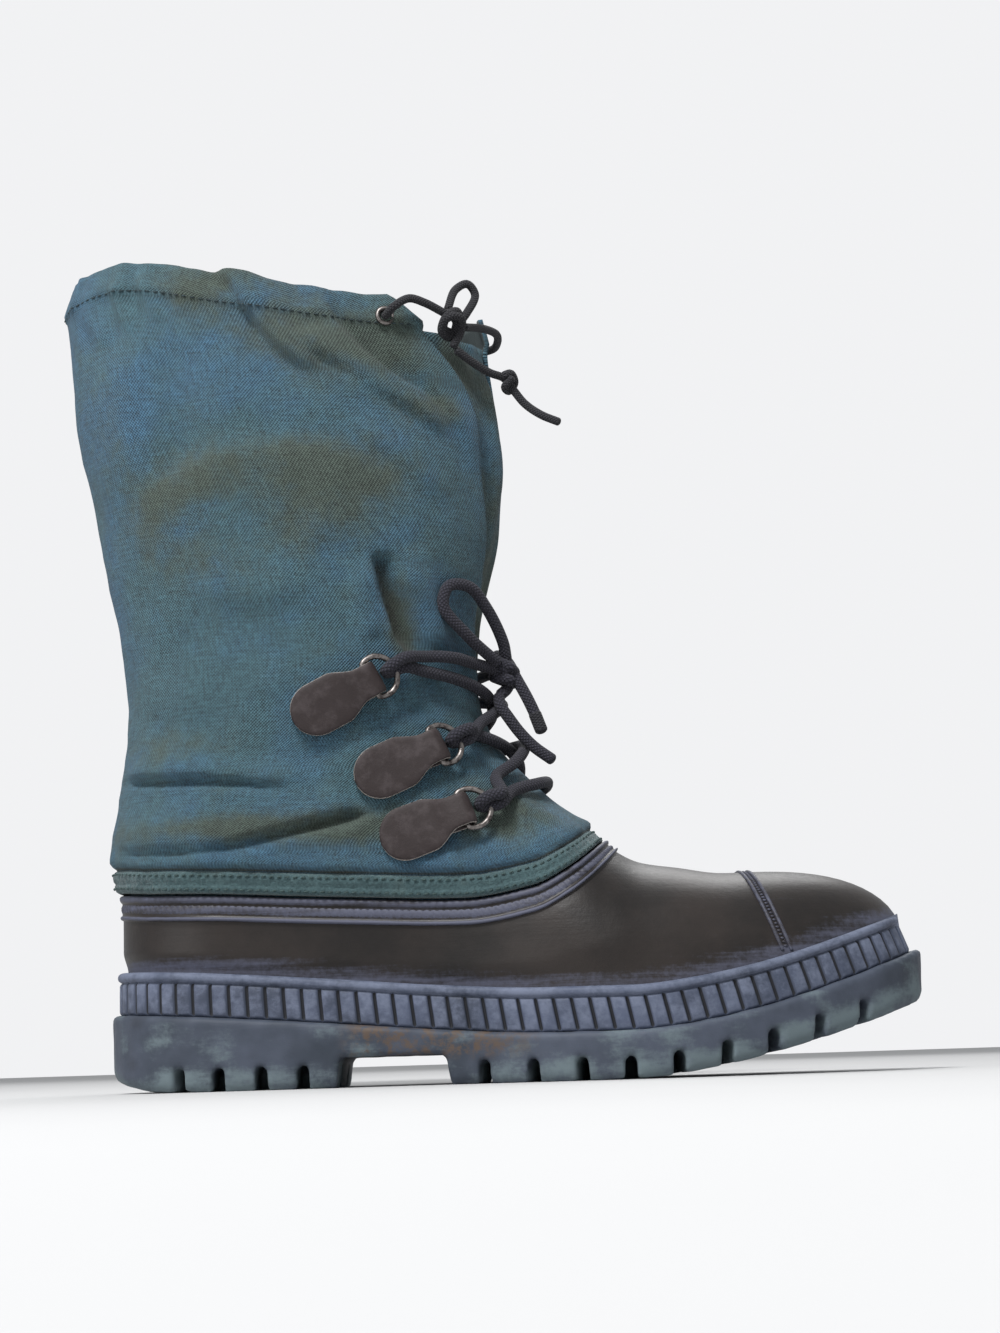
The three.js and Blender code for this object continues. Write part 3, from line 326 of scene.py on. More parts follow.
    @staticmethod
    def end_round(share: Any) -> Any:
        """Half width factor that rounds the heel and the toe."""
        share = np.asarray(share, float)
        heel = np.sqrt(np.clip(1 - (1 - share / 0.14) ** 2, 0, 1))
        reach = np.clip((share - 0.66) / 0.34, 0, 1)
        toe = (1 - reach**2.15) ** (1 / 2.15)
        return np.where(share < 0.14, heel, np.where(share <= 0.66, 1, toe))

    def plan_point(self, angle: Any, inset: float, toe_inset: Any) -> tuple[Any, Any]:
        """A point of the sole's outline, drawn in by the insets.

        Args:
            angle: Angles round the outline, from the heel by the outer side.
            inset: How far it is drawn in.
            toe_inset: How far it is drawn in at the toe.

        Returns:
            X and Y of each point.
        """
        angle = np.asarray(angle, float)
        share = (1 - np.cos(angle)) / 2
        outer = np.mod(angle, 2 * math.pi) <= math.pi
        sign = np.where(outer, -1, 1)
        half = np.where(outer, self.plan["outer"](share), self.plan["inner"](share)) - inset
        x = inset + share * (self.sole_length - inset - toe_inset)
        return x, self.swing(share) + sign * half * self.end_round(share)

    def crest(self, x: Any) -> Any:
        """Height of the foot form's crest."""
        share = np.asarray(x, float) / self.sole_length
        line = self.crest_line(share)
        tip = self.sole_length - self.band_toe_ledge - self.band_thickness - self.gap + self.shell_flare
        start = 0.78 * self.sole_length
        reach = np.clip((np.asarray(x, float) - start) / (tip - start), 0, 1)
        foot = self.sole_top(tip)
        return np.where(share < 0.78, line, foot + (line - foot) * (1 - reach**2.6) ** (1 / 2.6))

    def form_ring(self, level: Level, grow: float, flare: float = 0) -> Ring:
        """The ring where the foot form, grown, crosses a height.

        Args:
            level: The height as a function of X.
            grow: How far the form is grown.
            flare: How far its plan stands out beyond that.

        Returns:
            A function from angles to points, an angle a row.
        """
        edge = self.band_thickness + self.gap - grow - flare
        inset = self.band_ledge + edge
        length = self.sole_length - inset - self.band_toe_ledge - edge
        tip = inset + length

        def crest(x: Any) -> Any:
            """Height of the grown form's crest."""
            return self.crest(np.clip(np.asarray(x, float) - grow, 0, self.sole_length)) + grow

        if level(tip) < crest(tip) + 1e-6:
            front = tip
        else:
            front = solve(0.3 * self.sole_length, tip, lambda x: float(level(x) - crest(x)))

        def ring(angle: Any) -> Points:
            """The ring's points at some angles."""
            angle = np.asarray(angle, float)
            x = inset + (front - inset) * (1 - np.cos(angle)) / 2
            outer = np.mod(angle, 2 * math.pi) <= math.pi
            share = np.clip((x - inset) / length, 0, 1)
            base = np.where(outer, self.plan["outer"](share), self.plan["inner"](share)) - inset
            foot = self.sole_top(x)
            full = np.clip((level(x) - foot) / (crest(x) - foot), 0, 1)
            arch = (1 - full**2.35) ** (1 / 2.35)
            y = self.swing(share) + np.where(outer, -1, 1) * base * self.end_round(share) * arch
            return np.stack([x, y, level(x) + 0 * x], axis=-1)

        return ring

    def sole_ring(self, height: float, grow: float) -> Ring:
        """The form's ring at a height over the outsole."""
        return self.form_ring(lambda x: self.sole_top(x) + self.gap + height, grow)

    def rim_ring(self, drop: float, grow: float) -> Ring:
        """The shell's ring at a drop below its rim."""
        return self.form_ring(lambda x: self.topline(x) - drop, grow, self.shell_flare)

    def puffed_ring(self, rise: float, grow: float) -> Ring:
        """The ring over the rim of cloth that stands out more than it rises."""
        up = min(grow, 0.25 * grow)
        return self.form_ring(lambda x: self.topline(x) + rise, up, self.shell_flare + grow - up)

    def shaft_ring(self, at: float) -> Ring:
        """The shaft's outer ring at a level.

        Args:
            at: The level, from 0 at the tucked foot to 17 at the collar.

        Returns:
            A function from angles to points.
        """
        row = {name: float(curve(at)) for name, curve in self.shaft_rows.items()}
        oval = {name: float(curve(at)) for name, curve in self.ovals.items()}

        def rounded(angle: Any) -> Points:
            """The oval's points at some angles."""
            angle = np.asarray(angle, float)
            share = (1 - np.cos(angle)) / 2
            x = oval["back"] + (oval["front"] - oval["back"]) * share
            z = oval["back_z"] + (oval["front_z"] - oval["back_z"]) * share + oval["sag"] * self.sag(share)
            return np.stack([x, -np.sin(angle) * oval["half"], z], axis=-1)

        if row["oval"] >= 1:
            return rounded
        form = self.puffed_ring(row["rise"], row["grow"])
        return lambda angle: form(angle) * (1 - row["oval"]) + rounded(angle) * row["oval"]

    def slot_angles(self, at: float, ring: Ring) -> tuple[float, float]:
        """Angles of the front opening's edges at a level.

        Args:
            at: The level of the shaft.
            ring: The shaft's ring there.

        Returns:
            How far each edge, on the outer and the inner side, turns from the front.
        """
        found = []
        for name, sign in (("outer", -1), ("inner", 1)):
            turn = 0.0
            for _ in range(6):
                spot = ring(np.array([math.pi + sign * turn]))[0]
                edge = float(self.slot[name](spot[2] / self.boot_height)) * self.shaft_width
                half = float(self.ovals["half"](at))
                turn = math.asin(min(0.999, abs(edge) / half))
            found.append(turn)
        return found[0], found[1]

    def metres(self, points: Points) -> Points:
        """Turns the form's millimetres into the frame's metres."""
        return (np.asarray(points, float) - self.middle) * 0.001


FORM = BootForm()


# ---- shader graphs


def operator(operation: str, reflected: bool = False) -> Callable[["Value", Any], "Value"]:
    """An operator of Value that adds one Math node.

    Args:
        operation: The node's operation.
        reflected: Whether the other term comes first.

    Returns:
        The method.
    """

    def apply(value: "Value", other: Any) -> "Value":
        """Adds the node for the two terms."""
        terms = (other, value) if reflected else (value, other)
        return value.math(operation, *terms)

    return apply


class Value:
    """A shader socket that adds Math nodes as it is used in an expression."""

    def __init__(self, graph: "Graph", socket: bpy.types.NodeSocket) -> None:
        """Keeps the graph and the socket it stands for."""
        self.graph = graph
        self.socket = socket

    def math(self, operation: str, *terms: Any) -> "Value":
        """Adds one Math node."""
        return self.graph.node("ShaderNodeMath", {"operation": operation}, dict(enumerate(terms)))

    __add__ = operator("ADD")
    __radd__ = operator("ADD", True)
    __sub__ = operator("SUBTRACT")
    __rsub__ = operator("SUBTRACT", True)
    __mul__ = operator("MULTIPLY")
    __rmul__ = operator("MULTIPLY", True)
    __truediv__ = operator("DIVIDE")
    __pow__ = operator("POWER")

    def sine(self) -> "Value":
        """Sine of the value."""
        return self.math("SINE", self)

    def size(self) -> "Value":
        """The value without its sign."""
        return self.math("ABSOLUTE", self)

    def greater(self, other: Any) -> "Value":
        """The larger of two values."""
        return self.math("MAXIMUM", self, other)

    def eased(self, low: float, high: float) -> "Value":
        """The value eased from 0 at low to 1 at high."""
        return self.graph.node(
            "ShaderNodeMapRange",
            {"interpolation_type": "SMOOTHSTEP"},
            {"Value": self, "From Min": low, "From Max": high, "To Min": 0.0, "To Max": 1.0},
        )


Colour = tuple[float, float, float]


class Graph:
    """The node graph of one material."""

    def __init__(self, name: str) -> None:
        """Makes the material with its surface shader.

        Args:
            name: The material's name.
        """
        self.material = bpy.data.materials.new(name)
        self.material.use_nodes = True
        self.tree = self.material.node_tree
        self.surface = self.tree.nodes["Principled BSDF"]
        self._place: Value | None = None

    def node(self, kind: str, settings: dict[str, Any], inputs: dict[Any, Any], out: Any = 0) -> Value:
        """Adds one node.

        Args:
            kind: The node's type.
            settings: Its own settings, which are made first.
            inputs: Numbers, colours or values for its sockets.
            out: The output that is wanted.

        Returns:
            That output.
        """
        made = self.tree.nodes.new(kind)
        for name, value in settings.items():
            if name == "stops":
                ramp = made.color_ramp
                while len(ramp.elements) < len(value):
                    ramp.elements.new(0.5)
                for stop, (at, colour) in zip(ramp.elements, value):
                    stop.position = at
                    stop.color = (*colour, 1.0)
            else:
                setattr(made, name, value)
        for name, value in inputs.items():
            self._feed(made.inputs[name], value)
        return Value(self, made.outputs[out])

    def _feed(self, socket: bpy.types.NodeSocket, value: Any) -> None:
        """Links a value to a socket, or sets it there."""
        if isinstance(value, Value):
            self.tree.links.new(value.socket, socket)
        elif isinstance(value, tuple) and len(value) == 3 and len(socket.default_value) == 4:
            socket.default_value = (*value, 1.0)
        else:
            socket.default_value = value

    def place(self) -> Value:
        """The point's own place on the object, in metres."""
        if self._place is None:
            self._place = self.node("ShaderNodeTexCoord", {}, {}, "Object")
        return self._place

    def axes(self, vector: Value) -> tuple[Value, Value, Value]:
        """The three parts of a vector."""
        split = self.node("ShaderNodeSeparateXYZ", {}, {0: vector}, 0)
        outs = split.socket.node.outputs
        return Value(self, outs[0]), Value(self, outs[1]), Value(self, outs[2])

    def flat(self) -> tuple[Value, Value]:
        """The piece's own UV map, in metres along and up."""
        u, v, _ = self.axes(self.node("ShaderNodeUVMap", {"uv_map": "UVMap"}, {}))
        return u, v

    def mark(self, name: str) -> Value:
        """A number that the mesh carries."""
        return self.node("ShaderNodeAttribute", {"attribute_name": name}, {}, "Fac")

    def stretched(self, scale: Colour, turn: Colour = (0, 0, 0)) -> Value:
        """The place, scaled and turned."""
        return self.node("ShaderNodeMapping", {}, {"Vector": self.place(), "Scale": scale, "Rotation": turn})

    def cloud(self, scale: float, detail: float = 3, rough: float = 0.55, at: Value | None = None) -> Value:
        """Noise from 0 to 1, with scale features to the metre, read at the place if at isn't given."""
        return self.node(
            "ShaderNodeTexNoise",
            {},
            {"Vector": at or self.place(), "Scale": scale, "Detail": detail, "Roughness": rough},
        )

    def blend(self, share: Any, low: Any, high: Any, mode: str = "MIX") -> Value:
        """Mixes two colours."""
        return self.node(
            "ShaderNodeMix", {"data_type": "RGBA", "blend_type": mode}, {0: share, 6: low, 7: high}, 2
        )

    def bump(self, height: Value, depth: float, strength: float = 1.0, over: Value | None = None) -> Value:
        """A normal from a height of the given depth in metres."""
        inputs = {"Height": height, "Distance": depth, "Strength": strength}
        if over is not None:
            inputs["Normal"] = over
        return self.node("ShaderNodeBump", {}, inputs)

    def finish(self, **sockets: Any) -> bpy.types.Material:
        """Sets the surface shader's sockets, whose names take _ for a space.

        Args:
            **sockets: The values.

        Returns:
            The material.
        """
        for name, value in sockets.items():
            self._feed(self.surface.inputs[name.replace("_", " ")], value)
        return self.material


# ---- finishes


@dataclass(frozen=True)
class NylonFinish:
    """Coarse nylon weave of two colours, turned olive partly at random and partly as painted shade where its
    folds lie in shade, and darkened with painted shade in its creases.
    """

    blue: Colour = (0.033, 0.09, 0.146)
    teal: Colour = (0.038, 0.088, 0.108)
    olive: Colour = (0.045, 0.064, 0.052)
    shadow: Colour = (0.022, 0.026, 0.019)
    pitch: float = 0.0013
    name: str = "nylon weave"

    def build(self) -> bpy.types.Material:
        """Makes the material."""
        g = Graph(self.name)
        u, v = g.flat()
        tone = g.mark("tone")
        crease = g.mark("crease")
        broad = g.cloud(16, 3, 0.6)
        patch = g.cloud(75, 4, 0.65)
        base = g.blend((broad * 1.3 + patch * 0.5 - 0.4).eased(0.25, 0.7), self.blue, self.teal)
        # Painted shade: the olive follows the mesh's mark, raised where the folds lie in shade and mixed with
        # random colour variation.
        olive = (tone + (patch - 0.5) * 1.1).eased(0.05, 0.85)
        base = g.blend(olive, base, self.olive)
        # Painted shade: the creases' mark darkens the colour towards the shadow colour.
        base = g.blend((crease + (patch - 0.5) * 0.5).eased(0.25, 1.0), base, self.shadow)
        warp = g.cloud(1, 2, 0.6, g.node("ShaderNodeCombineXYZ", {}, {0: u * 950.0, 1: v * 130.0}))
        weft = g.cloud(1, 2, 0.6, g.node("ShaderNodeCombineXYZ", {}, {0: u * 130.0, 1: v * 950.0, 2: 5.0}))
        fleck = g.cloud(1100, 2, 0.7)
        threads = (warp + weft - 1.0) * 2.0
        turn = 2 * math.pi / self.pitch
        weave = (u * turn).sine() * (v * turn).sine()
        shade = 1.0 + threads * 0.6 + weave * 0.3 + (fleck - 0.5) * 1.1
        shade = shade.greater(0.3)
        grey = g.node("ShaderNodeCombineXYZ", {}, {0: shade, 1: shade, 2: shade})
        colour = g.node("ShaderNodeVectorMath", {"operation": "MULTIPLY"}, {0: base, 1: grey})
        height = weave * 0.6 + threads * 0.35 + fleck * 0.5
        return g.finish(
            Base_Color=colour,
            Roughness=0.82 + threads * 0.05,
            Normal=g.bump(height, 0.0005, 0.9),
            Sheen_Weight=0.05,
            Sheen_Roughness=0.5,
        )


@dataclass(frozen=True)
class LiningFinish:
    """Coated back of the nylon."""

    name: str = "nylon back"

    def build(self) -> bpy.types.Material:
        """Makes the material."""
        g = Graph(self.name)
        u, v = g.flat()
        turn = 2 * math.pi / 0.0016
        weave = (u * turn).sine() * (v * turn).sine()
        shade = g.cloud(40, 3)
        return g.finish(
            Base_Color=g.blend(shade, (0.03, 0.042, 0.045), (0.055, 0.068, 0.068)),
            Roughness=0.7,
            Normal=g.bump(weave, 0.0002, 0.5),
        )


@dataclass(frozen=True)
class TapeFinish:
    """Fuzzy green tape."""

    low: Colour = (0.018, 0.042, 0.048)
    high: Colour = (0.058, 0.112, 0.12)
    name: str = "fuzzy tape"

    def build(self) -> bpy.types.Material:
        """Makes the material."""
        g = Graph(self.name)
        fuzz = g.cloud(900, 4, 0.7)
        worn = g.cloud(70, 4, 0.6)
        colour = g.blend((fuzz * 0.7 + worn * 0.5).eased(0.35, 0.85), self.low, self.high)
        colour = g.blend(worn.eased(0.5, 0.8) * 0.5, colour, (0.07, 0.085, 0.075))
        return g.finish(Base_Color=colour, Roughness=0.95, Normal=g.bump(fuzz, 0.0008, 1.0), Sheen_Weight=0.2)


@dataclass(frozen=True)
class RubberFinish:
    """Moulded rubber, scuffed along its edges, darkened with painted shade in its hollows and muddy where mud
    is set.
    """

    name: str
    deep: Colour
    worn: Colour
    scuff: Colour
    roughness: float = 0.5
    scuffing: float = 0.4
    streak: Colour = (14, 14, 240)
    mud: float = 0.0
    gloss: float = 0.25

    def build(self) -> bpy.types.Material:
        """Makes the material."""
        g = Graph(self.name)
        broad = g.cloud(22, 4, 0.6)
        fine = g.cloud(420, 4, 0.7)
        base = g.blend(broad.eased(0.3, 0.7), self.deep, self.worn)
        streaks = g.cloud(1, 4, 0.7, g.stretched(self.streak))
        mark = g.mark("scuff")
        scuffed = (mark * 1.1 + (streaks - 0.5) * 1.6 + (fine - 0.5) * 0.8) * self.scuffing * 2.2
        cover = scuffed.eased(0.25, 1.1)
        colour = g.blend(cover, base, self.scuff)
        # Painted shade: where the mark falls below zero, as in the band's grooves, the colour darkens to near
        # black.
        colour = g.blend((0.0 - mark).eased(0.0, 0.5), colour, (0.014, 0.015, 0.019))
        if self.mud:
            x, _, z = g.axes(g.place())
            low = (x + 0.062).eased(0.0, 0.012) * (1.0 - (x + 0.005).eased(0.0, 0.03))
            high = z.eased(0.008, 0.014) * (1.0 - z.eased(0.022, 0.03))
            spots = (g.cloud(150, 5, 0.7) + (fine - 0.5) * 0.5).eased(0.42, 0.62)
            colour = g.blend(low * high * spots * self.mud, colour, (0.085, 0.06, 0.045))
        height = fine * 0.5 + streaks * 0.5
        return g.finish(
            Base_Color=colour,
            Roughness=self.roughness + cover * 0.2 + (fine - 0.5) * 0.12,
            Normal=g.bump(height, 0.0003, 0.6),
            Specular_IOR_Level=self.gloss,
        )


@dataclass(frozen=True)
class LeatherFinish:
    """Dark worn leather with pale cut edges."""

    face: Colour = (0.022, 0.015, 0.015)
    rub: Colour = (0.046, 0.036, 0.037)
    edge: Colour = (0.4, 0.36, 0.33)
    name: str = "patch leather"

    def build(self) -> bpy.types.Material:
        """Makes the material."""
        g = Graph(self.name)
        cut = g.mark("scuff")
        grain = g.cloud(1500, 4, 0.65)
        rub = g.cloud(170, 4, 0.6)
        colour = g.blend(rub.eased(0.42, 0.75), self.face, self.rub)
        colour = g.blend((cut + (grain - 0.5) * 0.6).eased(0.45, 0.9), colour, self.edge)
        return g.finish(
            Base_Color=colour,
            Roughness=0.5 + rub * 0.2,
            Normal=g.bump(grain * 0.6 + rub * 0.8, 0.0003, 0.7),
            Specular_IOR_Level=0.3,
        )


@dataclass(frozen=True)
class MetalFinish:
    """Dull, slightly tarnished steel wire."""

    name: str = "tarnished steel"

    def build(self) -> bpy.types.Material:
        """Makes the material."""
        g = Graph(self.name)
        spots = g.cloud(380, 4, 0.65)
        colour = g.blend(spots.eased(0.4, 0.7), (0.24, 0.22, 0.21), (0.05, 0.04, 0.038))
        return g.finish(
            Base_Color=colour, Metallic=1.0, Roughness=0.3 + spots * 0.3, Normal=g.bump(spots, 0.0001, 0.4)
        )


@dataclass(frozen=True)
class BraidFinish:
    """Braided cord, read along its own UV map."""

    name: str
    dark: Colour
    light: Colour
    strands: float = 8
    pitch: float = 0.0062

    def build(self) -> bpy.types.Material:
        """Makes the material."""
        g = Graph(self.name)
        u, v = g.flat()
        around = u * (math.pi * self.strands)
        run = v * (2 * math.pi / self.pitch * 2)
        braid = ((around + run).sine() * (around - run).sine()).size()
        fuzz = g.cloud(1400, 3, 0.7)
        colour = g.blend((braid * 0.7 + (fuzz - 0.4) * 0.8).eased(0.1, 1.0), self.dark, self.light)
        normal = g.bump(braid + fuzz * 0.5, 0.00045, 1.0)
        return g.finish(Base_Color=colour, Roughness=0.85, Normal=normal, Sheen_Weight=0.04)


@dataclass(frozen=True)
class ClothFinish:
    """Grey felted insole cloth."""

    name: str = "insole cloth"

    def build(self) -> bpy.types.Material:
        """Makes the material."""
        g = Graph(self.name)
        fuzz = g.cloud(700, 4, 0.7)
        worn = g.cloud(18, 3)
        colour = g.blend(fuzz, (0.07, 0.068, 0.062), (0.17, 0.165, 0.15))
        colour = g.blend(worn.eased(0.45, 0.8) * 0.5, colour, (0.05, 0.045, 0.04))
        return g.finish(Base_Color=colour, Roughness=0.95, Normal=g.bump(fuzz, 0.0006, 1.0))


@dataclass(frozen=True)
class FloorFinish:
    """Plain pale studio floor."""

    name: str = "pale floor"

    def build(self) -> bpy.types.Material:
        """Makes the material."""
        g = Graph(self.name)
        soft = g.cloud(3, 2)
        colour = g.blend(soft, (0.47, 0.47, 0.475), (0.5, 0.5, 0.5))
        return g.finish(Base_Color=colour, Roughness=0.9)


class Palette:
    """Every finish of the boot, made once."""

    def __init__(self) -> None:
        """Builds the materials."""
        self.nylon = NylonFinish().build()
        self.lining = LiningFinish().build()
        self.tape = TapeFinish().build()
        self.shell = RubberFinish(
            "shell rubber", (0.010, 0.0085, 0.008), (0.023, 0.018, 0.016), (0.075, 0.08, 0.115), 0.4, 0.45,
            gloss=0.28,
        ).build()
        self.band = RubberFinish(
            "band rubber", (0.03, 0.037, 0.055), (0.07, 0.085, 0.132), (0.13, 0.15, 0.21), 0.55, 0.5,
            (60, 60, 90),
        ).build()
        self.sole = RubberFinish(
            "sole rubber", (0.03, 0.038, 0.052), (0.066, 0.078, 0.108), (0.115, 0.148, 0.163), 0.6, 0.5,
            (30, 30, 120), 0.95,
        ).build()
        self.leather = LeatherFinish().build()
        self.metal = MetalFinish().build()
        self.lace = BraidFinish("boot lace", (0.006, 0.006, 0.012), (0.034, 0.032, 0.05)).build()
        dark = (0.006, 0.006, 0.009)
        self.cord = BraidFinish("collar cord", dark, (0.026, 0.026, 0.032), 6, 0.0045).build()
        self.cloth = ClothFinish().build()
        green = (0.03, 0.06, 0.07)
        self.thread = BraidFinish("stitching thread", green, (0.06, 0.11, 0.13), 2, 0.003).build()
        self.pale = BraidFinish("pale thread", (0.06, 0.12, 0.12), (0.15, 0.26, 0.25), 2, 0.003).build()
        self.floor = FloorFinish().build()


# ---- making pieces


def stood(name: str, shape: bmesh.types.BMesh) -> bpy.types.Object:
    """Turns a shaped mesh into an object of the scene."""
    mesh = bpy.data.meshes.new(name)
    shape.to_mesh(mesh)
    shape.free()
    piece = bpy.data.objects.new(name, mesh)
    bpy.context.scene.collection.objects.link(piece)
    return piece


class Bench:
    """Turns shaped meshes into finished pieces that ride on the boot."""

    def __init__(self) -> None:
        """Starts with no pieces."""
        self.made: list[bpy.types.Object] = []

    def finish(
        self,
        name: str,
        shape: bmesh.types.BMesh,
        materials: Sequence[bpy.types.Material],
        slot: Slot,
        replaces: Sequence[str] = (),
    ) -> bpy.types.Object:
        """Makes an object from a shaped mesh.

        Args:
            name: The piece's name.
            shape: Its mesh, in the frame's metres.
            materials: Its materials.
            slot: Not used.
            replaces: CAD nodes that it stands for.

        Returns:
            The piece.
        """
        piece = stood(name, shape)
        piece.data.shade_smooth()
        for material in materials:
            piece.data.materials.append(material)
        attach(piece, BODY)
        if replaces:
            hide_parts(*replaces)
        self.made.append(piece)
        LOG.info("%s: %d faces", name, len(piece.data.polygons))
        return piece

    @staticmethod
    def wall(piece: bpy.types.Object, thickness: float) -> None:
        """Gives a sheet its wall, in metres, whose back takes the second material."""
        wall = piece.modifiers.new("wall", "SOLIDIFY")
        wall.thickness = thickness
        wall.offset = -1
        wall.material_offset = 1

    @staticmethod
    def grid(
        points: Points,
        u: Points,
        v: Points,
        marks: dict[str, Points] | None = None,
        outward: Points | None = None,
    ) -> bmesh.types.BMesh:
        """Shapes a grid over rows of points and closes it where its edges meet.

        Args:
            points: Rows of points in the form's millimetres.
            u: Their places along the UV map.
            v: Their places up it.
            marks: Numbers that each point carries, by name.
            outward: A point that all faces look away from, for an open sheet.

        Returns:
            The mesh, in the frame's metres.
        """
        count_v, count_u = points.shape[:2]
        shape = bmesh.new()
        uv = shape.loops.layers.uv.new("UVMap")
        layers = {name: shape.verts.layers.float.new(name) for name in (marks or {})}
        bmesh.ops.create_grid(shape, x_segments=count_u - 1, y_segments=count_v - 1, size=1)
        flat = FORM.metres(points.reshape(-1, 3))
        values = {name: np.asarray(marks[name], float).reshape(-1) for name in layers}
        for i, vert in enumerate(shape.verts):
            vert.co = flat[i]
            for name, layer in layers.items():
                vert[layer] = values[name][i]
        places = np.stack([u, v], axis=-1).reshape(-1, 2)
        for face in shape.faces:
            for loop in face.loops:
                loop[uv].uv = places[loop.vert.index]
        bmesh.ops.remove_doubles(shape, verts=shape.verts, dist=2e-6)
        bmesh.ops.dissolve_degenerate(shape, edges=shape.edges, dist=1e-6)
        if outward is None:
            bmesh.ops.recalc_face_normals(shape, faces=shape.faces)
        else:
            centre = Vector(FORM.metres(outward))
            shape.normal_update()
            total = sum((face.calc_center_median() - centre).dot(face.normal) for face in shape.faces)
            if total < 0:
                bmesh.ops.reverse_faces(shape, faces=shape.faces)
        return shape


@dataclass
class Maker:
    """A maker of pieces, with the bench that makes them and the finishes they take."""

    bench: Bench
    palette: Palette


def smoothed(points: Sequence[Sequence[float]], step: float) -> Points:
    """Runs an even line through given points.

    Args:
        points: The points.
        step: Distance between two points of the line.

    Returns:
        The line's points.
    """
    p = np.array(points, float)
    p = np.vstack([2 * p[0] - p[1], p, 2 * p[-1] - p[-2]])
    line = []
    for i in range(1, len(p) - 2):
        knots = [0.0]
        for k in range(3):
            knots.append(knots[-1] + max(1e-6, float(np.linalg.norm(p[i + k] - p[i + k - 1]))) ** 0.5)
        t0, t1, t2, t3 = knots
        for t in np.linspace(t1, t2, 24, endpoint=False):
            a1 = p[i - 1] * (t1 - t) / (t1 - t0) + p[i] * (t - t0) / (t1 - t0)
            a2 = p[i] * (t2 - t) / (t2 - t1) + p[i + 1] * (t - t1) / (t2 - t1)
            a3 = p[i + 1] * (t3 - t) / (t3 - t2) + p[i + 2] * (t - t2) / (t3 - t2)
            b1 = a1 * (t2 - t) / (t2 - t0) + a2 * (t - t0) / (t2 - t0)
            b2 = a2 * (t3 - t) / (t3 - t1) + a3 * (t - t1) / (t3 - t1)
            line.append(b1 * (t2 - t) / (t2 - t1) + b2 * (t - t1) / (t2 - t1))
    line.append(p[-2])
    fine = np.array(line)
    reach = reach_of(fine)
    even = np.linspace(0, reach[-1], max(3, int(round(reach[-1] / step)) + 1))
    return np.stack([np.interp(even, reach, fine[:, k]) for k in range(fine.shape[1])], axis=-1)


def length_of(line: Points) -> float:
    """Length of a line of points."""
    return float(reach_of(line)[-1])


@dataclass(frozen=True)
class Cord:
    """A round cord laid along a line."""

    diameter: float
    sides: int = 14

    def mesh(self, line: Points, closed: bool = False, ends: float = 0.6) -> bmesh.types.BMesh:
        """Shapes the cord.

        Args:
            line: The line it follows.
            closed: Whether it runs back into its start.
            ends: How far its ends are rounded, as a share of its radius.

        Returns:
            The mesh.
        """
        run = np.gradient(line, axis=0)
        if closed:
            run = np.roll(line[:-1], -1, axis=0) - np.roll(line[:-1], 1, axis=0)
            run = np.vstack([run, run[:1]])
        run /= np.linalg.norm(run, axis=1)[:, None]
        side = np.cross(run[0], (0.3, 0.2, 1.0))
        sides = [side / np.linalg.norm(side)]
        for k in range(1, len(line)):
            turned = sides[-1] - run[k] * float(sides[-1] @ run[k])
            sides.append(turned / np.linalg.norm(turned))
        across = np.array(sides)
        if closed:
            over = np.cross(run[0], across[0])
            slip = math.atan2(float(across[-1] @ over), float(across[-1] @ across[0]))
            turn = -slip * np.linspace(0, 1, len(line))[:, None]
            across = across * np.cos(turn) + np.cross(run, across) * np.sin(turn)
        up = np.cross(run, across)
        angles = np.linspace(0, 2 * math.pi, self.sides + 1)
        radius = np.full(len(line), self.diameter / 2)
        reach = reach_of(line)
        if not closed:
            steps = np.array((0.5, 1.0, 1.3, math.pi / 2))
            small = self.diameter / 2 * np.cos(steps)
            push = (ends * self.diameter / 2 * np.sin(steps))[:, None]
            line = np.vstack([(line[0] - run[0] * push)[::-1], line, line[-1] + run[-1] * push])
            radius = np.concatenate([small[::-1], radius, small])
            across, up, reach = (np.pad(part, ((4, 4),) + ((0, 0),) * (part.ndim - 1), "edge")
                                 for part in (across, up, reach))
        c = np.cos(angles)[None, :, None] * radius[:, None, None]
        s = np.sin(angles)[None, :, None] * radius[:, None, None]
        points = line[:, None, :] + across[:, None, :] * c + up[:, None, :] * s
        u, v = np.meshgrid(angles / (2 * math.pi), reach * 0.001)
        return Bench.grid(points, u, v)


@dataclass(frozen=True)
class Stitching:
    """A run of short stitches."""

    pitch: float
    length: float
    radius: float
    lift: float
    slant: float = 0.0

    def add(self, shape: bmesh.types.BMesh, line: Points, ways: Points, turned: bool = False) -> None:
        """Adds the run's stitches to a mesh.

        Args:
            shape: The mesh.
            line: The line that they follow.
            ways: The way outwards at each of its points.
            turned: Whether the stitches lie across the line and the ways run along it.
        """
        reach = reach_of(line)
        for k in range(1, int(reach[-1] / self.pitch)):
            at = k * self.pitch
            spot = np.array([np.interp(at, reach, line[:, c]) for c in range(3)])
            ahead = np.array([np.interp(at + 0.5, reach, line[:, c]) for c in range(3)]) - spot
            way = np.array([np.interp(at, reach, ways[:, c]) for c in range(3)])
            if turned:
                run, way = Vector((1, 0, 0)), Vector((0, float(spot[1]), float(spot[2]) - 40)).normalized()
            else:
                way = Vector(way).normalized()
                run = Vector(ahead).normalized()
                run = (run + way.cross(run) * self.slant).normalized()
            turn = run.to_track_quat("X", "Z").to_matrix().to_4x4()
            scale = Matrix.Diagonal((self.length / 2, self.radius, self.radius, 1))
            centre = Vector(FORM.metres(spot + np.array(way) * self.lift))
            place = Matrix.Translation(centre) @ Matrix.Scale(0.001, 4) @ turn @ scale
            bmesh.ops.create_uvsphere(
                shape, u_segments=6, v_segments=4, radius=1, matrix=place, calc_uvs=True
            )


# ---- soles and shell


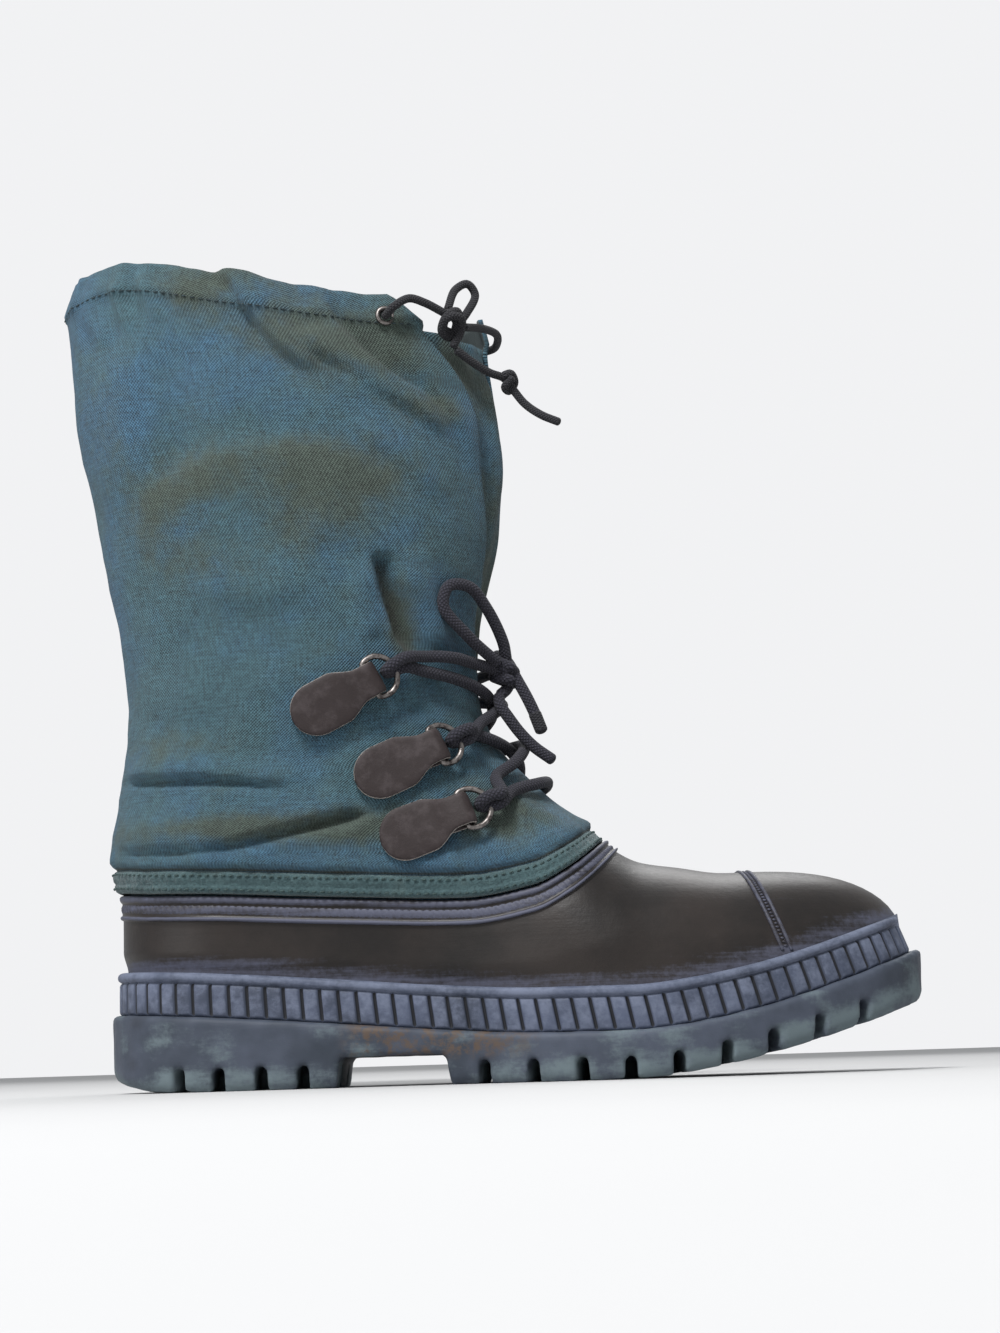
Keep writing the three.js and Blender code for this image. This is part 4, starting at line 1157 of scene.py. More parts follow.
@dataclass
class Outsole(Maker):
    """Lugged outsole with the soft, worn edges of moulded rubber."""

    voxel: float = 0.0014

    def build(self) -> bpy.types.Object:
        """Makes the outsole from its own solid.

        Returns:
            The piece.
        """
        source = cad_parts["outsole"]
        shape = bmesh.new()
        shape.from_mesh(source.data)
        bmesh.ops.remove_doubles(shape, verts=shape.verts, dist=1e-6)
        core = stood("outsole core", shape)
        remesh = core.modifiers.new("voxels", "REMESH")
        remesh.mode = "VOXEL"
        remesh.voxel_size = self.voxel
        relax = core.modifiers.new("worn edges", "SMOOTH")
        relax.factor = 0.5
        relax.iterations = 2
        done = core.evaluated_get(bpy.context.evaluated_depsgraph_get())
        worn = bmesh.new()
        worn.from_mesh(done.to_mesh())
        done.to_mesh_clear()
        bpy.data.objects.remove(core)
        mark = worn.verts.layers.float.new("scuff")
        for vert in worn.verts:
            co = vert.co
            x = co.x * 1000 + FORM.middle[0]
            lift = float(FORM.lift(x))
            height = co.z * 1000 - lift
            lug = max(0.0, min(1.0, (12 - height) / 7))
            vert[mark] = 0.18 + 0.55 * lug + 0.7 * noise.noise(co * 75)
            vert.co += vert.normal * 0.00025 * noise.noise(co * 130)
            vert.co.z = max(vert.co.z, 0.0)
        return self.bench.finish("boot_outsole", worn, [self.palette.sole], Slot.OUTSOLE, ["outsole"])


@dataclass
class RibbedBand(Maker):
    """Ribbed rubber band round the joint of shell and sole, with a rounded lip on top."""

    rib_relief: float = 1.1
    groove: float = 1.3
    lip_relief: float = 1.0
    samples: int = 13

    def build(self) -> bpy.types.Object:
        """Makes the band.

        Returns:
            The piece.
        """
        f = FORM
        fine = np.linspace(0, 2 * math.pi, 2881)
        x, y = f.plan_point(fine, f.band_ledge, f.band_toe_ledge)
        reach = np.concatenate([[0], np.cumsum(np.hypot(np.diff(x), np.diff(y)))])
        total = reach[-1]
        ribs = round(total / f.rib_pitch)
        share = np.linspace(0, 1, ribs * self.samples + 1)
        angles = np.interp(share * total, reach, fine)
        off = np.abs((share * ribs + 0.5) % 1 - 0.5) * f.rib_pitch
        groove = 1 - smooth(0.25 * self.groove, 0.62 * self.groove, off)
        crown = 0.25 * (1 - (2 * np.clip(0.5 - off / f.rib_pitch, 0, 0.5)) ** 4)
        profile = [
            (-0.26, -1.2, 0), (-0.2, -0.3, 0), (0.5, 0.0, 0.6), (1.1, 0.1, 1), (4, 0.1, 1), (8, 0.1, 1),
            (11.2, 0.05, 1), (12.0, -0.2, 0.7), (12.5, -0.7, 0.2), (12.9, 0.1, 0), (13.4, 0.75, 0),
            (14.1, self.lip_relief, 0), (15.0, self.lip_relief, 0), (15.7, 0.65, 0), (16.2, 0.1, 0),
            (16.5, -0.7, 0), (16.6, -1.8, 0),
        ]
        grid, mark = [], []
        top = f.rib_height + f.lip_height
        for height, relief, ribbed in profile:
            out = relief + ribbed * (crown - groove * self.rib_relief)
            lean = f.band_toe_lean * height / top
            px = np.empty_like(angles)
            py = np.empty_like(angles)
            for level in np.unique(np.round(out, 3)):
                pick = np.isclose(np.round(out, 3), level)
                px[pick], py[pick] = f.plan_point(
                    angles[pick], f.band_ledge - level, f.band_toe_ledge + lean - level
                )
            grid.append(np.stack([px, py, f.sole_top(px) + f.gap + height], axis=-1))
            # The lip and the rib crowns take more scuffing; the grooves take a negative mark, which paints
            # shade into them.
            edge = 0.6 if height > 12.8 else 0.22
            mark.append(edge + 0.3 * ribbed * crown / 0.25 - 1.5 * groove * ribbed)
        for height in (top, 0.0):
            grid.append(f.sole_ring(height, 0.84)(angles))
            mark.append(np.zeros_like(angles))
        grid.append(grid[0])
        mark.append(mark[0])
        points = np.array(grid)
        u, v = np.meshgrid(share, np.linspace(0, 1, len(grid)))
        shape = Bench.grid(points, u, v, {"scuff": np.array(mark)})
        return self.bench.finish("ribbed_rubber_band", shape, [self.palette.band], Slot.BAND, ["ribbed_band"])


@dataclass
class RubberShell(Maker):
    """Moulded shell of the foot, with its binding, toe seam and hatched strip."""

    columns: int = 300
    wall_rows: int = 46
    hatch_pitch: float = 2.7

    def build(self) -> None:
        """Makes the shell and the strips on it."""
        self._wall()
        self._hatch()
        self._seam()

    def _wall(self) -> None:
        """Makes the wall from the foot over the rim and down the inside."""
        f = FORM
        rings: list[Ring] = [f.sole_ring(0, 0)]
        marks: list[float] = [0.2]
        for share in np.linspace(-0.12, 1, self.wall_rows):
            rings.append(f.form_ring(f.shell_level(float(share)), 0, f.flare(float(share))))
            marks.append(0.0)
        rim = [
            (9.9, 0.25, 0.5), (9.6, 1.0, 0.9), (9.0, 1.25, 1.0), (8.5, 1.0, 0.8), (8.1, 0.45, 0.2),
            (7.4, 0.4, 0.3), (5.4, 0.4, 0.35), (3.8, 0.4, 0.3), (3.2, 0.5, 0.2), (2.8, 1.0, 0.6),
            (2.0, 1.45, 0.8), (1.2, 1.5, 0.8), (0.5, 1.1, 0.6), (0.1, 0.4, 0.3), (0.0, -0.5, 0.2),
            (0.0, -1.6, 0.1), (0.3, -2.6, 0.0),
        ]
        for drop, grow, mark in rim:
            rings.append(f.rim_ring(drop, grow))
            marks.append(mark)
        for share in (1, 0.75, 0.5, 0.25, 0.0):
            rings.append(f.form_ring(f.shell_level(share), -f.shell_wall, f.flare(share)))
            marks.append(0.0)
        for height in (f.insole_thickness, 0.0):
            rings.append(f.sole_ring(height, -f.shell_wall))
            marks.append(0.0)
        rings.append(rings[0])
        marks.append(marks[0])
        angles = np.linspace(0, 2 * math.pi, self.columns + 1)
        points = np.array([ring(angles) for ring in rings])
        u, v = np.meshgrid(angles / (2 * math.pi), np.linspace(0, 1, len(rings)))
        mark = np.repeat(np.array(marks)[:, None], self.columns + 1, 1)
        outer = slice(1, 1 + self.wall_rows)
        height = points[outer][..., 2] - f.band_top(points[outer][..., 0])
        mark[outer] = 0.02 + 0.72 * np.exp(-((height / 6.5) ** 2))
        self._relief(points, outer)
        shape = Bench.grid(points, u, v, {"scuff": mark})
        self.bench.finish("rubber_foot_shell", shape, [self.palette.shell], Slot.SHELL, ["rubber_shell"])

    def _relief(self, points: Points, outer: slice) -> None:
        """Gives the wall its soft waves.

        Args:
            points: The shell's points, which are moved.
            outer: The rows of the outer wall.
        """
        part = points[outer]
        down = np.gradient(part, axis=0)
        along = np.gradient(part, axis=1)
        normal = np.cross(along, down)
        normal /= np.linalg.norm(normal, axis=-1)[..., None] + 1e-9
        centre = np.array([FORM.sole_length / 2, 3.0, 45.0])
        flip = np.sign(np.sum(normal * (part - centre), axis=-1))
        normal *= flip[..., None]
        share = np.linspace(-0.12, 1, part.shape[0])[:, None]
        wave = noise_over(part * (0.018, 0.018, 0.03))
        out = 0.5 * wave * smooth(0.05, 0.2, share) * (1 - smooth(0.85, 1, share))
        points[outer] = part + normal * out[..., None]
        self.tree = self._tree(points[outer])

    @staticmethod
    def _tree(part: Points) -> BVHTree:
        """The outer wall, for laying strips on it."""
        count = part.shape[1]
        faces = [
            (j + i, j + i + 1, j + count + i + 1, j + count + i)
            for j in range(0, count * (part.shape[0] - 1), count)
            for i in range(count - 1)
        ]
        return BVHTree.FromPolygons([Vector(p) for p in part.reshape(-1, 3)], faces)

    def _seam(self) -> None:
        """Makes the toe seam: two thin welts over the toe with short bars between them."""
        f = FORM
        crest, foot = 0.775 * f.sole_length - 2, 0.825 * f.sole_length - 2
        high, low = f.toe_box_height + 12, 0.58 * f.toe_box_height
        slope = (crest - foot) / (high - low)
        start = Vector((foot + slope * (44 - low), float(f.swing(0.8)), 44))
        whole = bmesh.new()
        whole.loops.layers.uv.new("UVMap")
        lines = []
        for aside in (-1.8, 0.0, 1.8):
            line = []
            for angle in np.linspace(-112, 112, 113):
                a = math.radians(float(angle))
                way = Vector((slope * math.cos(a), math.sin(a), math.cos(a))).normalized()
                spot, _, _, _ = self.tree.ray_cast(start + Vector((aside, 0, 0)), way)
                if spot is not None and spot.z > float(f.band_top(spot.x)) + 0.6:
                    line.append(np.array(spot) + np.array(way) * (0.12 if aside else 0.0))
            lines.append(smoothed(line, 1.2))
        for line in (lines[0], lines[2]):
            part = Cord(1.5, 8).mesh(line)
            mesh = bpy.data.meshes.new("seam welt")
            part.to_mesh(mesh)
            part.free()
            whole.from_mesh(mesh)
            bpy.data.meshes.remove(mesh)
        middle = lines[1][: len(lines[2])]
        Stitching(1.6, 1.9, 0.55, 0.05).add(whole, middle, np.gradient(middle, axis=0), turned=True)
        mark = whole.verts.layers.float.new("scuff")
        for vert in whole.verts:
            vert[mark] = 0.62
        self.bench.finish("shell_toe_seam", whole, [self.palette.shell], Slot.SHELL)

    def _hatch(self) -> None:
        """Makes the strip of moulded stitches below the rim."""
        f = FORM
        drops = (7.6, 7.0, 6.0, 5.0, 4.0, 3.5)
        fine = np.linspace(0, 2 * math.pi, 1441)
        reach = reach_of(f.rim_ring(drops[3], 0.3)(fine))
        count = round(reach[-1] / self.hatch_pitch)
        share = np.linspace(0, 1, count * 6 + 1)
        angles = np.interp(share * reach[-1], reach, fine)
        grid = []
        edge = (-0.5, 0.35, 1, 1, 0.35, -0.5)
        for k, drop in enumerate(drops):
            wave = 0.5 + 0.5 * np.cos(2 * math.pi * (share * count + 0.16 * k))
            grow = 0.3 + edge[k] * (0.15 + 0.45 * wave)
            base, full = f.rim_ring(drop, 0.0)(angles), f.rim_ring(drop, 1.0)(angles)
            grid.append(base + (full - base) * grow[:, None])
        grid += [f.rim_ring(drop, -0.4)(angles) for drop in (drops[-1], drops[0])] + [grid[0]]
        u, v = np.meshgrid(share, np.linspace(0, 1, len(grid)))
        mark = np.full(u.shape, 0.75)
        shape = Bench.grid(np.array(grid), u, v, {"scuff": mark})
        self.bench.finish("shell_stitch_strip", shape, [self.palette.shell], Slot.SHELL)


@dataclass
class Insole(Maker):
    """Cloth insole that dips a little under the foot."""

    columns: int = 160
    dip: float = 1.2

    def build(self) -> None:
        """Makes the insole."""
        f = FORM
        grow = -(f.shell_wall + 2 * f.gap)
        angles = np.linspace(0, 2 * math.pi, self.columns + 1)
        under = f.sole_ring(0, grow)(angles)
        over = f.sole_ring(f.insole_thickness, grow)(angles)
        spine = over.copy()
        spine[:, 1] = f.swing(spine[:, 0] / f.sole_length)
        grid = [spine + (under - spine) * (0, 0, 1)]
        for share in (0.5, 0.985, 1.0):
            row = spine + (under - spine) * share
            row[:, 2] = under[:, 2]
            grid.append(row)
        upper = ((1, 1), (0.985, 0.25), (0.95, 0), (0.8, 0.3), (0.55, 0.8), (0.25, 1), (0, 1))
        for share, drop in upper:
            row = spine + (over - spine) * share
            row[:, 2] = over[:, 2] - self.dip * drop
            grid.append(row)
        points = np.array(grid)
        u, v = np.meshgrid(np.linspace(0, 1, self.columns + 1), np.linspace(0, 1, len(grid)))
        shape = Bench.grid(points, u, v)
        self.bench.finish("cloth_insole", shape, [self.palette.cloth], Slot.INSOLE, ["insole"])


# ---- nylon shaft


@dataclass(frozen=True)
class Fold:
    """A trough or ridge along given points of one side, steep on one flank and soft on the other."""

    side: Side
    points: tuple[tuple[float, float], ...]
    depth: float
    width: float
    skew: float = 1.0
    ends: float = 0.25
    painted_shade: float = 0.0

    def relief(self, spots: Points) -> tuple[Points, Points]:
        """How far the fold moves each point out.

        Args:
            spots: Points of the shaft in millimetres.

        Returns:
            The move, and how dark the crease is at each point.
        """
        line = smoothed(self.points, 3.0)
        flat = spots[..., [0, 2]].reshape(-1, 2)
        starts, ends = line[:-1], line[1:]
        run = ends - starts
        size = np.sum(run * run, axis=1)
        gap = flat[:, None, :] - starts[None]
        t = np.clip(np.sum(gap * run[None], axis=-1) / size[None], 0, 1)
        off = flat[:, None, :] - (starts[None] + run[None] * t[..., None])
        far = np.linalg.norm(off, axis=-1)
        best = np.argmin(far, axis=1)
        pick = np.arange(len(flat))
        near = far[pick, best]
        cross = run[best, 0] * off[pick, best, 1] - run[best, 1] * off[pick, best, 0]
        soft = np.where(np.sign(cross) == np.sign(self.skew), abs(self.skew), 1.0)
        wide = self.width * soft
        at = (best + t[pick, best]) / len(starts)
        taper = smooth(0, self.ends, at) * (1 - smooth(1 - self.ends, 1, at))
        on_side = smooth(0, 14, self.side.value * spots[..., 1].reshape(-1))
        swell = np.exp(-(((near - 2.2 * wide) / wide) ** 2))
        move = 1.45 * self.depth * (np.exp(-((near / wide) ** 2)) - 0.25 * swell) * taper * on_side
        # Painted shade laid along the fold's line, strongest on it.
        dark = self.painted_shade * np.exp(-((near / (0.9 * wide)) ** 2)) * taper * on_side
        return move.reshape(spots.shape[:-1]), dark.reshape(spots.shape[:-1])


@dataclass(frozen=True)
class Spot:
    """A soft round patch of one side, seen from that side."""

    side: Side
    x: float
    z: float
    wide: float
    high: float
    amount: float

    def weight(self, spots: Points) -> Points:
        """How strongly the patch covers each point."""
        off = ((spots[..., 0] - self.x) / self.wide) ** 2 + ((spots[..., 2] - self.z) / self.high) ** 2
        return self.amount * np.exp(-off) * smooth(0, 14, self.side.value * spots[..., 1])


OUT, INN = Side.OUTER, Side.INNER

FOLDS = (
    Fold(OUT, ((47, 331), (55, 323), (66, 306), (77, 292.5), (92, 281)), 4.2, 1.9, 4.5, 0.2),
    Fold(OUT, ((80, 300), (88, 293.5), (104, 284.5), (115, 276), (129, 268), (140, 256)), 3.8, 2.0, 3.5, 0.2),
    Fold(OUT, ((92, 324), (95, 306), (105, 291), (120, 279), (138, 270)), 3.2, 1.9, -4.5, 0.3, 0.3),
    Fold(OUT, ((104, 300), (116, 288), (132, 276), (146, 266)), -1.8, 5.5, 1.0),
    Fold(OUT, ((12, 306), (8, 266), (20, 226)), 1.3, 10, 1.0),
    Fold(OUT, ((30, 306), (34, 262), (24, 226)), -1.2, 9, 1.0),
    Fold(OUT, ((12, 217), (28, 236), (46, 244), (70, 247), (90, 246), (115, 241)), 1.5, 6, -2.2),
    Fold(OUT, ((88, 246), (92, 228), (84, 208)), 1.0, 4, 2.5),
    Fold(OUT, ((100, 262), (122, 248), (140, 228)), 1.2, 3.5, 2.5),
    Fold(OUT, ((111, 209), (114, 197), (119, 181), (124, 163)), -4.2, 1.9, 3.2, 0.15, 0.8),
    Fold(OUT, ((106, 204), (106, 188), (112, 170)), 1.4, 4, 1.0),
    Fold(OUT, ((122, 204), (130, 188), (134, 170)), 2.2, 5, 1.0),
    Fold(OUT, ((3, 126), (20, 123.6), (39, 122.6), (71, 119), (84, 120)), 2.2, 1.4, 5, 0.2),
    Fold(OUT, ((3, 123.4), (20, 121), (39, 120), (71, 116.6)), -1.2, 1.7, 1.0, 0.2, 0.5),
    Fold(OUT, ((2, 97), (20, 95.5), (46, 96), (70, 101), (96, 107), (129, 115)), 3.6, 1.8, 5, 0.12),
    Fold(OUT, ((2, 93), (20, 91.6), (46, 92), (70, 97), (96, 103), (129, 111)), -1.8, 2.2, 1.0, 0.12, 0.45),
    Fold(OUT, ((60, 93), (96, 96), (124, 101)), 1.3, 4.5, 1.0),
    Fold(OUT, ((20, 108), (50, 112), (80, 120), (104, 127)), 1.0, 5.5, 1.0),
    Fold(OUT, ((60, 160), (84, 146), (98, 128)), 1.0, 4, 2.5),
    Fold(OUT, ((134, 142), (120, 148), (106, 146)), -1.4, 2.2, 2.5, 0.2, 0.25),
    Fold(OUT, ((140, 118), (128, 121), (112, 119)), -1.4, 2.2, 2.5, 0.2, 0.25),
    Fold(OUT, ((146, 103), (156, 95), (166, 91)), -1.6, 2.2, 2.5, 0.2, 0.3),
    Fold(OUT, ((156, 112), (168, 106), (180, 98)), 1.3, 3.4, 1.0),
    Fold(OUT, ((134, 96), (146, 90), (160, 87)), 1.2, 3.0, 2.0),
    Fold(OUT, ((22, 170), (50, 178), (84, 172)), -0.7, 8.0, 1.0),
    Fold(OUT, ((8, 150), (30, 143), (56, 145)), -0.7, 6.0, 1.0),
    Fold(OUT, ((36, 200), (60, 192), (90, 196)), 0.9, 4.5, 2.5),
    Fold(OUT, ((6, 327), (8, 316), (14, 304)), 1.1, 1.9, 1.6, 0.2),
    Fold(OUT, ((17, 330), (20, 318), (26, 306)), 1.1, 2.0, 1.8, 0.2),
    Fold(OUT, ((30, 331), (33, 321), (35, 308)), 0.9, 2.0, 2.0, 0.2),
    Fold(OUT, ((-9, 322), (-4, 312), (4, 300)), 1.0, 2.4, 1.6, 0.2),
    Fold(OUT, ((120, 300), (130, 286), (148, 262), (152, 240)), 1.1, 2.2, 3.0),
    Fold(INN, ((50, 330), (66, 304), (90, 284), (124, 262)), 2.6, 2.0, -4, 0.2),
    Fold(INN, ((104, 316), (102, 294), (114, 270), (130, 240)), 2.0, 2.0, 3.5, 0.2, 0.1),
    Fold(INN, ((14, 306), (18, 266), (28, 226)), 1.4, 9, 1.0),
    Fold(INN, ((24, 226), (56, 246), (90, 240), (118, 226)), 1.4, 5, 2.5),
    Fold(INN, ((116, 200), (120, 182), (127, 162)), -3.4, 2.2, -3, 0.15, 0.6),
    Fold(INN, ((4, 128), (30, 125), (58, 129), (86, 124)), 2.0, 1.6, -4, 0.2),
    Fold(INN, ((4, 99), (36, 96), (72, 100), (104, 109), (128, 116)), 3.4, 2.0, -5, 0.12),
    Fold(INN, ((4, 95), (36, 92), (72, 96), (104, 105), (128, 112)), -1.7, 2.2, 1.0, 0.12, 0.45),
    Fold(INN, ((40, 176), (70, 164), (96, 168)), -1.2, 6.0, 1.0),
    Fold(INN, ((60, 214), (88, 204), (116, 212)), 1.6, 3.0, 2.5),
    Fold(INN, ((36, 252), (66, 236), (96, 208)), 2.0, 2.4, 3.0),
    Fold(INN, ((2, 204), (24, 190), (60, 186)), 1.8, 2.6, -3.0),
    Fold(INN, ((146, 103), (156, 95), (168, 91)), -1.6, 2.2, 2.5, 0.2, 0.3),
    Fold(INN, ((10, 328), (13, 316), (20, 304)), 1.1, 2.0, 1.8, 0.2),
    Fold(INN, ((28, 331), (31, 320), (34, 306)), 1.0, 2.0, 1.8, 0.2),
)

# Olive patches on each side, painted as shade where the folds lie in shade.
SHADE_TONES = (
    Spot(OUT, 40, 316, 15, 10, 0.75),
    Spot(OUT, 82, 300, 26, 20, 0.7),
    Spot(OUT, 116, 294, 20, 18, 0.8),
    Spot(OUT, 136, 268, 16, 8, 0.75),
    Spot(OUT, 20, 225, 11, 16, 0.45),
    Spot(OUT, 42, 240, 22, 14, 0.75),
    Spot(OUT, 84, 246, 30, 13, 0.75),
    Spot(OUT, 112, 236, 14, 12, 0.5),
    Spot(OUT, 84, 222, 20, 18, 0.7),
    Spot(OUT, 40, 206, 18, 12, 0.4),
    Spot(OUT, 121, 178, 7, 15, 0.95),
    Spot(OUT, 30, 134, 30, 8, 0.4),
    Spot(OUT, 46, 100, 46, 6, 0.75),
    Spot(OUT, 100, 99, 34, 9, 0.7),
    Spot(OUT, 160, 104, 22, 12, 0.85),
    Spot(OUT, 6, 268, 10, 24, 0.3),
    Spot(OUT, 60, 326, 70, 7, 0.4),
    Spot(INN, 60, 288, 42, 14, 0.6),
    Spot(INN, 112, 300, 26, 16, 0.6),
    Spot(INN, 104, 240, 36, 15, 0.65),
    Spot(INN, 30, 236, 24, 16, 0.5),
    Spot(INN, 52, 192, 36, 13, 0.5),
    Spot(INN, 124, 180, 9, 17, 0.85),
    Spot(INN, 80, 100, 60, 9, 0.7),
    Spot(INN, 160, 104, 22, 12, 0.8),
)


@dataclass
class Shaft(Maker):
    """Nylon shaft: one sheet from edge to edge of the front opening, with its hem, folds and foot tape."""

    columns: int = 250
    tape_columns: int = 700
    row_step: float = 1.9
    axis_x: float = 78.0
    wall: float = 2.0
    ridge_limit: float = 3.8
    tuck_level: float = 4.2
    puff_level: float = 5.1
    hem_level: float = 14.9

    def __post_init__(self) -> None:
        """Lays out the sheet's levels and the closed form that the lacing lies on."""
        samples = np.linspace(0, 17, 341)
        side = np.array([FORM.shaft_ring(float(at))(np.array([math.pi / 2]))[0] for at in samples])
        reach = reach_of(side)
        self.heights = np.linspace(0, reach[-1], int(reach[-1] / self.row_step))
        self.levels = np.interp(self.heights, reach, samples)
        self.rings = [FORM.shaft_ring(float(at)) for at in self.levels]
        self.lower_tree = self._tree()

    def _tree(self) -> BVHTree:
        """The closed outer form, for laying pieces on it."""
        angles = np.linspace(0, 2 * math.pi, 181)[:-1]
        keep = self.rings[8::2]
        points = np.array([ring(angles) for ring in keep])
        count = len(angles)
        verts = [Vector(p) for p in points.reshape(-1, 3)]
        faces = [
            (j + i, j + (i + 1) % count, j + count + (i + 1) % count, j + count + i)
            for j in range(0, count * (len(keep) - 1), count)
            for i in range(count)
        ]
        return BVHTree.FromPolygons(verts, faces)

    def on_side(self, x: float, z: float, side: float) -> tuple[Vector, Vector]:
        """The place on a side, seen across the boot.

        Args:
            x: X of the place.
            z: Z of the place.
            side: Sign of the side.

        Returns:
            The point and the way outwards there.
        """
        spot, way, _, _ = self.lower_tree.ray_cast(Vector((x, side * 200, z)), Vector((0, -side, 0)))
        if spot is None:
            spot, way, _, _ = self.lower_tree.find_nearest(Vector((x, side * 20, z)))
        if way.y * side < 0:
            way = -way
        return spot, way

    def round_front(self, bearing: float, z: float, lift: float) -> Vector:
        """The place at a bearing from the shaft's axis.

        Args:
            bearing: Angle from the front, towards the inner side.
            z: Height of the place.
            lift: How far it stands off the cloth.

        Returns:
            The point.
        """
        axis = Vector((self.axis_x, 0, z))
        out = Vector((math.cos(bearing), math.sin(bearing), 0))
        spot, way, _, _ = self.lower_tree.ray_cast(axis + out * 220, -out)
        if spot is None:
            return axis + out * 80
        if way.dot(out) < 0:
            way = -way
        return spot + way * lift

    def build(self) -> None:
        """Makes the shaft, its tape and its hem stitching."""
        self._sheet()
        self._tape()
        self._tape_stitches()
        self._hem_stitches()

    def _angles(self, k: int) -> Points:
        """Angles round a row, from the inner edge of the opening back round to its outer edge."""
        outer, inner = FORM.slot_angles(float(self.levels[k]), self.rings[k])
        return np.linspace(-(math.pi - inner), math.pi - outer, self.columns + 1)

    def _sheet(self) -> None:
        """Makes the sheet with its folds."""
        angles = np.array([self._angles(k) for k in range(len(self.rings))])
        points = np.array([ring(row) for ring, row in zip(self.rings, angles)])
        normal = self._normals(points)
        move, crease, tone = self._folds(points, angles)
        points = points + normal * move[..., None]
        steps = np.linalg.norm(np.diff(points, axis=1), axis=2)
        reach = np.concatenate([np.zeros((len(points), 1)), np.cumsum(steps, axis=1)], axis=1)
        u = (reach - reach[:, self.columns // 2][:, None]) * 0.001
        v = np.repeat(self.heights[:, None], self.columns + 1, 1) * 0.001
        marks = {"tone": tone, "crease": crease}
        shape = Bench.grid(points, u, v, marks, np.array([70.0, 0, 180]))
        piece = self.bench.finish(
            "nylon_shaft", shape, [self.palette.nylon, self.palette.lining], Slot.NYLON, ["shaft"]
        )
        Bench.wall(piece, self.wall * 0.001)
        self.points = points

    @staticmethod
    def _normals(points: Points) -> Points:
        """Ways outwards over a grid of the shaft."""
        up = np.gradient(points, axis=0)
        along = np.gradient(points, axis=1)
        normal = np.cross(along, up)
        normal /= np.linalg.norm(normal, axis=-1)[..., None] + 1e-9
        out = points - np.array([70.0, 0, 0])
        out[..., 2] = 0
        flip = np.where(np.sum(normal * out, axis=-1) < 0, -1, 1)
        return normal * flip[..., None]

    def _folds(self, points: Points, angles: Points) -> tuple[Points, Points, Points]:
        """The cloth's relief.

        Args:
            points: The sheet's points.
            angles: Their angles round the shaft.

        Returns:
            How far each point moves out, how much painted shade it takes in the creases and how olive it is,
            the olive being painted shade of the folds mixed with random colour variation.
        """
        shape = points.shape[:2]
        move = np.zeros(shape)
        crease = np.zeros(shape)
        for fold in FOLDS:
            out, dark = fold.relief(points)
            move += out
            crease = np.maximum(crease, dark)
        move = np.where(move > 0, self.ridge_limit * np.tanh(move / self.ridge_limit), move)
        # Painted shade: olive patches where the folds lie in shade, plus broad noise for random colour
        # variation.
        tone = sum(spot.weight(points) for spot in SHADE_TONES)
        x, y, z = np.moveaxis(points, -1, 0)
        broad = noise_over(points * 0.022)
        small = noise_over(points * (0.07, 0.07, 0.05) + (0, 0, 9))
        tone = tone + 0.25 * broad
        above = self.levels[:, None]
        free = smooth(4.6, 6.5, above)
        slant = noise_over(np.stack([0.16 * (x + 0.6 * z), 0.05 * y, 0.03 * (z - 0.6 * x)], axis=-1))
        slack = 0.7 * (0.3 - np.abs(slant)) * (0.6 + broad)
        move = (move + 1.3 * broad + 0.6 * small + slack) * free
        for row in LACE_ROWS:
            c, s = math.cos(math.radians(row.lean)), math.sin(math.radians(row.lean))
            ahead = (x - row.x) * c + (z - row.z) * s
            aside = (z - row.z) * c - (x - row.x) * s
            off = np.hypot(ahead - np.clip(ahead, -22, 8), aside)
            move = move * (0.05 + 0.95 * smooth(12, 19, off))
        around = angles + 0 * above
        gather = noise_line(around * 6.0, 3.0) + 0.7 * noise_line(around * 17.0, 8.0)
        puff = np.exp(-(((above - self.puff_level) / 0.55) ** 2))
        move += puff * (0.7 + 1.1 * gather)
        # Painted shade along the tuck line, where the cloth goes in under the tape.
        tuck = np.exp(-(((above - self.tuck_level) / 0.35) ** 2))
        crease = np.maximum(crease, 0.9 * tuck)
        hem = smooth(14.6, 15.2, above)
        ruche = noise_line(around * 9.0, 15.0)
        move += 0.9 * ruche * smooth(13.2, 15.5, above) + 0.12 * hem
        stitch = np.exp(-(((above - self.hem_level) / 0.22) ** 2))
        move -= 0.14 * stitch
        return move, crease, tone

    def _tape(self) -> None:
        """Makes the fuzzy tape that sews the shaft to the shell."""
        f = FORM
        angles = np.linspace(0, 2 * math.pi, self.tape_columns + 1)
        profile = (
            (0.5, -0.6), (0.7, 1.2), (1.2, 2.6), (2.2, 3.3), (3.4, 3.2), (4.2, 2.9), (5.2, 3.5), (6.6, 3.9),
            (8.0, 3.7), (9.0, 3.0), (9.6, 1.6), (9.6, 0.2),
        )
        grid = []
        for rise, grow in profile:
            grid.append(f.puffed_ring(rise, grow)(angles))
        for rise in (9.0, 0.8):
            grid.append(f.rim_ring(-rise, -0.2)(angles))
        grid.append(grid[0])
        points = np.array(grid)
        fuzz = noise_over(points[:-1] * 0.9) + 0.6 * noise_over(points[:-1] * 0.25)
        fuzz[:, -1] = fuzz[:, 0]
        out = points[:-1] - points[:-1].mean(axis=1, keepdims=True)
        out[..., 2] = 0
        out /= np.linalg.norm(out, axis=-1)[..., None] + 1e-9
        outer = np.array([0.2, 0.6] + [1.0] * 8 + [0.6, 0.2] + [0, 0])[:, None]
        points[:-1] += out * (0.55 * fuzz * outer)[..., None]
        points[-1] = points[0]
        u, v = np.meshgrid(np.linspace(0, 0.5, self.tape_columns + 1), np.linspace(0, 0.02, len(grid)))
        shape = Bench.grid(points, u, v)
        self.bench.finish("shaft_foot_tape", shape, [self.palette.tape], Slot.NYLON)

